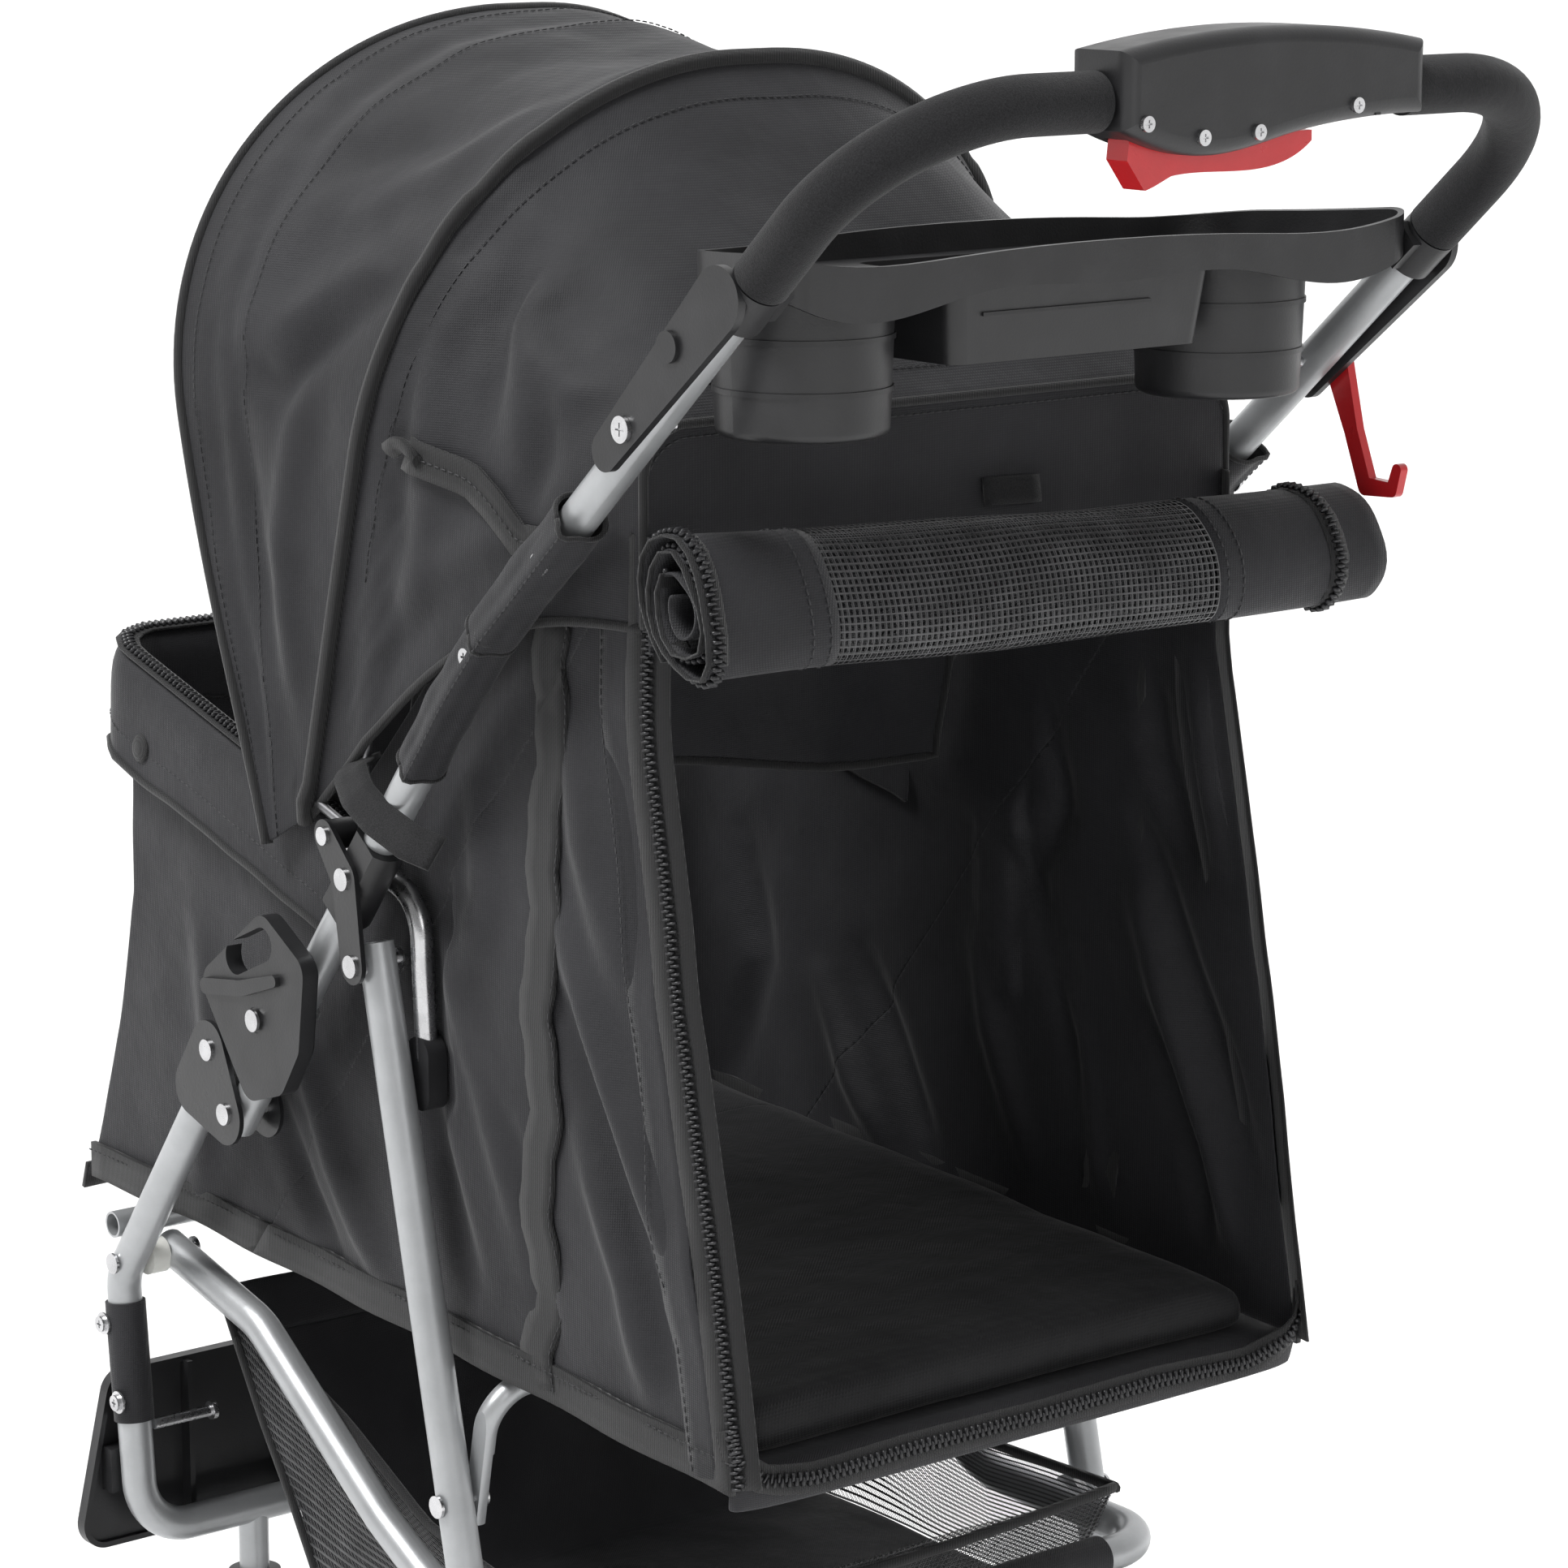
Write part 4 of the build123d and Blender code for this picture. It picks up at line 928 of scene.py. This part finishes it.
def make_front_flap():
    """Unzipped front window flap, hanging loose inside from the rear bow."""
    rows = []
    for t in range(25):
        drop = t / 24
        row = []
        for k in range(49):
            x = 0.168 * (1 - 2 * k / 48)
            p = Vector((x, -0.052 + 0.050 * (1 - drop) ** 2, 0.860 - 0.235 * drop))
            p.y += ripple(p, 12, 0.010, 2.0) * (0.3 + drop) + ripple(p, 30, 0.003, 4.0)
            p.z += 0.012 * drop * sin(x * 14 + 0.6)
            row.append(p)
        rows.append(row)
    flap = cloth_piece("front_flap", rows, CLOTH_BLACK)
    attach(flap, "handle_frame")
    border = [row[0] for row in rows] + rows[-1][1:] + [row[-1] for row in reversed(rows[:-1])]
    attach(rope("front_flap_binding", border, 0.0024, BINDING), "handle_frame")


def make_pad():
    low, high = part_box("seat_pad")
    slope = -0.0464
    length = high.y - low.y
    mesh = bmesh.new()
    bmesh.ops.create_cube(mesh, size=1.0)
    piece = bpy.data.objects.new("floor_pad", bpy.data.meshes.new("floor_pad"))
    mesh.to_mesh(piece.data)
    mesh.free()
    bpy.context.scene.collection.objects.link(piece)
    thick = 0.019
    for v in piece.data.vertices:
        v.co.x *= high.x - low.x - 0.012
        v.co.y *= length - 0.010
        v.co.z *= thick
    sharp = piece.modifiers.new("remesh", "REMESH")
    sharp.mode = "VOXEL"
    sharp.voxel_size = 0.005
    apply_modifiers(piece)
    before = [v.co.copy() for v in piece.data.vertices]
    cloth = piece.modifiers.new("cloth", "CLOTH")
    cloth.settings.use_pressure = True
    cloth.settings.uniform_pressure_force = 4
    cloth.settings.effector_weights.gravity = 0
    cloth.settings.quality = 6
    for frame_number in range(1, 21):
        bpy.context.scene.frame_set(frame_number)
    apply_modifiers(piece)
    bpy.context.scene.frame_set(1)
    for v, old in zip(piece.data.vertices, before):
        move = v.co - old
        if move.length > 0.004:
            v.co = old + move.normalized() * 0.004
    middle = (low + high) / 2
    for v in piece.data.vertices:
        crown = (1 - (abs(v.co.x) / 0.165) ** 3) * (1 - (abs(v.co.y) / 0.27) ** 4) * 0.003
        if v.co.z > 0:
            v.co.z += max(0.0, crown) + ripple(v.co, 16, 0.0022, 3.0)
        seam = exp(-((v.co.z - 0.0062) / 0.0022) ** 2)
        edge = max(abs(v.co.x) / 0.159, abs(v.co.y) / (length / 2 - 0.006))
        if edge > 0.97:
            v.co.x *= 1 - 0.010 * seam
            v.co.y *= 1 - 0.006 * seam
        v.co += middle
        v.co.z += slope * (v.co.y - middle.y) - 0.0005
    smooth = piece.modifiers.new("smooth", "SUBSURF")
    smooth.levels = 1
    apply_modifiers(piece)
    # The pad takes the darker cloth, which carries painted shade of the dim cabin floor.
    piece.data.materials.clear()
    piece.data.materials.append(PAD_CLOTH_PAINTED_SHADE)
    for face in piece.data.polygons:
        face.use_smooth = True
    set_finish(piece, "cloth_pad")
    for half in halves(piece):
        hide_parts("seat_pad")


def make_floor():
    low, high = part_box("cabin_floor")
    rows = []
    for j in range(29):
        y = low.y + (high.y - low.y) * j / 28
        z = high.z - 0.004 - (high.z - low.z - 0.004) * j / 28
        rows.append([Vector((high.x * (k / 10 - 1), y, z + 0.002)) for k in range(21)])
    floor = grid("cabin_floor_cloth", rows, CLOTH_BLACK)
    thicken(floor, 0.003, 0)
    made = halves(floor)
    for half in made:
        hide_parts("cabin_floor")


def make_header(hood_rows):
    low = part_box("cabin_header")[0]
    edge = [p.copy() for p in hood_rows[-1]]
    rows = []
    for t in range(13):
        share = t / 12
        middle = sin(pi * share)
        rows.append([Vector((p.x * (1 - 0.006 * middle),
                             p.y + 0.004 * (1 - share) + (ripple(p, 18, 0.004) + ripple(p, 45, 0.0015, 3.0)) * middle,
                             low.z - 0.012 + (p.z - low.z + 0.012) * share)) for p in edge])
    header = cloth_piece("header_panel", rows, CLOTH_BLACK)
    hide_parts("cabin_header")
    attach(header, "handle_frame")
    seam = [p + Vector((0, 0.0012, -0.006)) for p in rows[-1]]
    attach(stitches("header_stitches", seam[14:-14], (0, 1, 0)), "handle_frame")
    patch = [Vector((-0.018 - 0.034 * k / 6, rows[6][0].y + 0.0035, 0.789 - 0.0002 * k)) for k in range(7)]
    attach(ribbon("header_fastener", patch, (0, 1, 0.2), 0.013, VELCRO, 0.0022), "handle_frame")


# --- Rolled door ----------------------------------------------------------------------------------

def make_door_roll():
    """The rear door unzipped and rolled up under the header: cloth at each end and a mesh window between."""
    low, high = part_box("door_roll")
    turns = 3.3
    steps = int(turns * 40)
    middle_y = (low.y + high.y) / 2 - 0.002

    def roll_point(x, k):
        """Point of the loosely wound spiral: flattened and dented, larger at its left end."""
        lie = (x - low.x) / (high.x - low.x)
        share = k / steps
        turn = 2 * pi * turns * share + 2.0
        tall = mix(0.0305, 0.0355, lie)
        deep = mix(0.0270, 0.0235, lie)
        wind = 0.22 + 0.78 * share ** 0.85
        dent = 1 + 0.07 * noise.noise(Vector((x * 9, cos(turn) * 1.2, sin(turn) * 1.2 + share * 2)))
        dent += 0.13 * (1 - share) * sin(2 * turn + 1.0) + 0.05 * sin(3 * turn + 0.6 + 5 * share) * lie
        lean = (0.30 + 0.16 * lie) * sin(turn) * deep
        sag = -0.003 * sin(pi * lie)
        y = middle_y + deep * wind * dent * cos(turn) - lean * wind
        z = mix(0.7535, 0.7625, lie) + sag + tall * wind * dent * sin(turn)
        return Vector((x, y, z))

    spans = [("end_left", 0.132, high.x, CLOTH_BLACK), ("mesh", -0.095, 0.132, MESH),
             ("backing", -0.095, 0.132, CLOTH_BLACK), ("end_right", low.x, -0.095, CLOTH_BLACK)]
    for word, x_from, x_to, material in spans:
        first = 0
        final = steps
        if word == "backing":
            final = steps - 42
        if word == "mesh":
            first = steps - 84
        columns = max(6, int((x_to - x_from) / 0.007))
        rows = []
        for c in range(columns + 1):
            x = x_from + (x_to - x_from) * c / columns
            rows.append([roll_point(x, k) for k in range(first, final + 1)])
        piece = grid(f"door_roll_{word}", rows, material)
        area = area_of(piece)
        thicken(piece, 0.0011, 0)
        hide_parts("door_roll")
        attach(piece, "handle_frame")
    centre = Vector((0, middle_y, 0.758))

    def outward(p):
        way = Vector((0, p.y - centre.y, p.z - centre.z))
        return way.normalized()

    for word, x, from_turn in (("left", high.x - 0.0035, 1.0), ("right", -0.172, turns - 1.02)):
        path = [roll_point(x, k) for k in range(int(from_turn * 40), steps + 1)]
        path = [p + outward(p) * 0.0007 for p in path]
        for piece in zipper(f"door_edge_zip_{word}", path, outward, 0.012):
            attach(piece, "handle_frame")
    for word, x in (("left_a", 0.137), ("left_b", 0.147), ("right_a", -0.100), ("right_b", -0.110)):
        line = [roll_point(x, k) for k in range(steps - 41, steps + 1)]
        line = [p + outward(p) * 0.0009 for p in line]
        path = resample(line, 0.0045)
        places = [((a + b) / 2, (b - a).normalized(), outward(a)) for a, b in zip(path, path[1:])]
        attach(blocks(f"door_seam_{word}", places, (0.0031, 0.0007, 0.0008), THREAD), "handle_frame")


# --- Basket ---------------------------------------------------------------------------------------

def make_basket():
    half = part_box("basket")[1].x
    front = [(-0.250, 0.338), (-0.212, 0.278), (-0.182, 0.236), (-0.150, 0.1865)]
    rear = [(0.100, 0.255), (0.082, 0.223), (0.060, 0.1865)]
    bottom = [(-0.150, 0.1865), (-0.045, 0.1855), (0.060, 0.1865)]
    top = [(-0.250, 0.338), (-0.130, 0.296), (-0.060, 0.262), (0.0, 0.252), (0.100, 0.255)]
    for word, side in (("left", 1), ("right", -1)):
        edges = [[at(side * (half - 0.002), p) for p in edge] for edge in
                 (bottom, top, list(reversed(front)), list(reversed(rear)))]
        rows = coons(*edges, 40, 20)
        for row in rows:
            for p in row:
                p.x = side * min(half, abs(p.x) + ripple(p, 16, 0.004, 3.0))
        mesh_side = grid(f"basket_mesh_{word}", rows, MESH)
        thicken(mesh_side, 0.0009, 0)
        made = halves(mesh_side)
        for piece in made:
            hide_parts("basket")
        outline = resample([at(side * (half - 0.001), p) for p in top], 0.012)
        halves(rope(f"basket_top_binding_{word}", outline, 0.0042, BINDING, flatten=0.6))
        halves(rope(f"basket_front_binding_{word}", resample([at(side * (half - 0.001), p) for p in front], 0.012),
                    0.0040, BINDING, flatten=0.6))
    for name, line, material in (("basket_bottom", front + bottom[1:], CLOTH_BLACK),
                                 ("basket_rear", rear[::-1], MESH)):
        rows = []
        for p in resample([at(0, q) for q in line], 0.010):
            row = []
            for k in range(41):
                x = (half - 0.003) * (k / 20 - 1)
                wave = ripple(Vector((x, p.y, p.z)), 18, 0.003, 7.0)
                row.append(Vector((x, p.y + wave * 0.5, max(0.1855, p.z + wave))))
            rows.append(row)
        panel = grid(name, rows, material)
        thicken(panel, 0.0012, 1 if material == CLOTH_BLACK else 0)
        made = halves(panel)
        for piece in made:
            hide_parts("basket")
    lip = [Vector(((half - 0.003) * (k / 20 - 1), rear[0][0], rear[0][1] - 0.006 * sin(pi * k / 40)))
           for k in range(41)]
    halves(rope("basket_rear_binding", lip, 0.0045, BINDING, flatten=0.6))


# --- Small fittings -------------------------------------------------------------------------------

def make_sleeves():
    """Two stitched cloth loops round each handle tube, sewn to the hood's lower edge."""
    bend = Vector((0, 0.055, 0.726))
    up = Vector((0, 0.7490, 0.6627))
    for word, side in (("left", 1), ("right", -1)):
        spans = (("upper", [bend + up * 0.012, bend + up * 0.104], 0.0122),
                 ("lower", [bend - HANDLE_WAY * 0.079, bend - HANDLE_WAY * 0.030, bend + up * 0.018], 0.0114))
        for level, line, radius in spans:
            points = [p + Vector((side * 0.2, 0, 0)) for p in resample(line, 0.005)]
            rows = []
            for i, p in enumerate(points):
                way = (points[min(i + 1, len(points) - 1)] - points[max(i - 1, 0)]).normalized()
                out = Vector((side, 0, 0))
                down = way.cross(out).normalized()
                if down.z > 0:
                    down.negate()
                row = []
                for k in range(36):
                    turn = 2 * pi * k / 36
                    flange = 0.0055 * exp(-((turn - 0.55) / 0.30) ** 2)
                    wave = ripple(p + out * cos(turn) * 0.01, 45, 0.0016, k * 0.05)
                    r = radius + flange + wave * (0.3 + 0.7 * sin(pi * i / len(points)))
                    row.append(p + out * (max(0.0108, r) * cos(turn)) + down * (max(0.0108, r) * sin(turn)))
                rows.append(row)
            piece = grid(f"handle_sleeve_{level}_{word}", rows, CLOTH_BLACK, closed=True)
            thicken(piece, 0.0011, 1)
            length = sum((b - a).length for a, b in zip(points, points[1:]))
            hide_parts("handle_sleeves")
            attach(piece, "handle_frame")
            seam = [row[3] + (row[3] - p).normalized() * 0.0009 for row, p in zip(rows, points)]
            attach(stitches(f"sleeve_stitches_{level}_{word}", seam, (side, 0.3, -0.6)), "handle_frame")
            for place, tag in ((0, "foot"), (-1, "head")):
                ring = rows[place] + [rows[place][0]]
                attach(rope(f"sleeve_binding_{level}_{tag}_{word}", ring, 0.0013, BINDING), "handle_frame")
        band = [(0.1890, -0.058, 0.655), (0.2040, -0.049, 0.652), (0.2125, -0.030, 0.645), (0.2140, -0.012, 0.637),
                (0.2120, 0.012, 0.629), (0.2060, 0.026, 0.625)]
        band = resample([(side * x, y, z) for x, y, z in band], 0.004)
        normals = [Vector((side, 0.15, 0.85)) for _ in band]
        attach(ribbon(f"frame_strap_{word}", band, normals, 0.018, VELCRO, 0.0024), "handle_frame")


make_canopy()
hood_rows = make_hood()
make_walls()
make_front()
make_collar()
make_floor()
make_pad()
make_header(hood_rows)
make_door_roll()
make_basket()
make_sleeves()


# --- Floor, light and camera ----------------------------------------------------------------------

def make_stage():
    mesh = bpy.data.meshes.new("studio_floor")
    mesh.from_pydata([(-90, -90, 0), (90, -90, 0), (90, 90, 0), (-90, 90, 0)], [], [(0, 1, 2, 3)])
    floor = bpy.data.objects.new("studio_floor", mesh)
    floor.location.z = -0.0005
    bpy.context.scene.collection.objects.link(floor)
    m = Nodes("pale_floor", (0.88, 0.88, 0.88), 0.8, specular=0.1)
    m.drive("Base Color", m.ramp(m.noise(0.8, 2), (0.87, 0.87, 0.87), (0.89, 0.89, 0.89)))
    mesh.materials.append(m.material)


def area_light(name, place, target, size, power):
    light = bpy.data.lights.new(name, "AREA")
    light.shape = "RECTANGLE"
    light.size = size[0]
    light.size_y = size[1]
    light.energy = power
    lamp = bpy.data.objects.new(name, light)
    lamp.location = place
    lamp.rotation_euler = (Vector(target) - Vector(place)).to_track_quat("-Z", "Y").to_euler()
    bpy.context.scene.collection.objects.link(lamp)


def make_light():
    """Bright backdrop beyond the object, dim room behind the viewer, a soft sun from the left and weak fills."""
    world = bpy.data.worlds.new("studio")
    world.use_nodes = True
    tree = world.node_tree
    sky = tree.nodes.new("ShaderNodeTexCoord")
    toward = tree.nodes.new("ShaderNodeVectorMath")
    toward.operation = "DOT_PRODUCT"
    toward.inputs[1].default_value = (-0.62, -0.78, 0.1)
    level = tree.nodes.new("ShaderNodeMapRange")
    level.inputs["From Min"].default_value = -0.5
    level.inputs["From Max"].default_value = 0.7
    level.inputs["To Min"].default_value = 0.30
    level.inputs["To Max"].default_value = 1.05
    back = tree.nodes["Background"]
    back.inputs["Color"].default_value = (1, 1, 1, 1)
    tree.links.new(sky.outputs["Generated"], toward.inputs[0])
    tree.links.new(toward.outputs["Value"], level.inputs["Value"])
    tree.links.new(level.outputs[0], back.inputs["Strength"])
    bpy.context.scene.world = world
    sun = bpy.data.lights.new("sun", "SUN")
    sun.energy = 3.0
    sun.angle = radians(22)
    lamp = bpy.data.objects.new("sun", sun)
    lamp.rotation_euler = Vector((0.80, -0.20, 1.25)).to_track_quat("Z", "Y").to_euler()
    bpy.context.scene.collection.objects.link(lamp)
    area_light("fill", (0.6, 2.6, 1.7), (0, 0, 0.6), (1.2, 1.2), 10)


def make_camera():
    lens = bpy.data.cameras.new("camera")
    lens.sensor_width = 36
    lens.lens = 111.8
    camera = bpy.data.objects.new("camera", lens)
    camera.location = (1.4568, 1.8536, 1.1096)
    camera.rotation_euler = (radians(90 - 11.55), 0, radians(141.44))
    bpy.context.scene.collection.objects.link(camera)
    bpy.context.scene.camera = camera


make_stage()
make_light()
make_camera()
bpy.context.scene.view_settings.view_transform = "Standard"
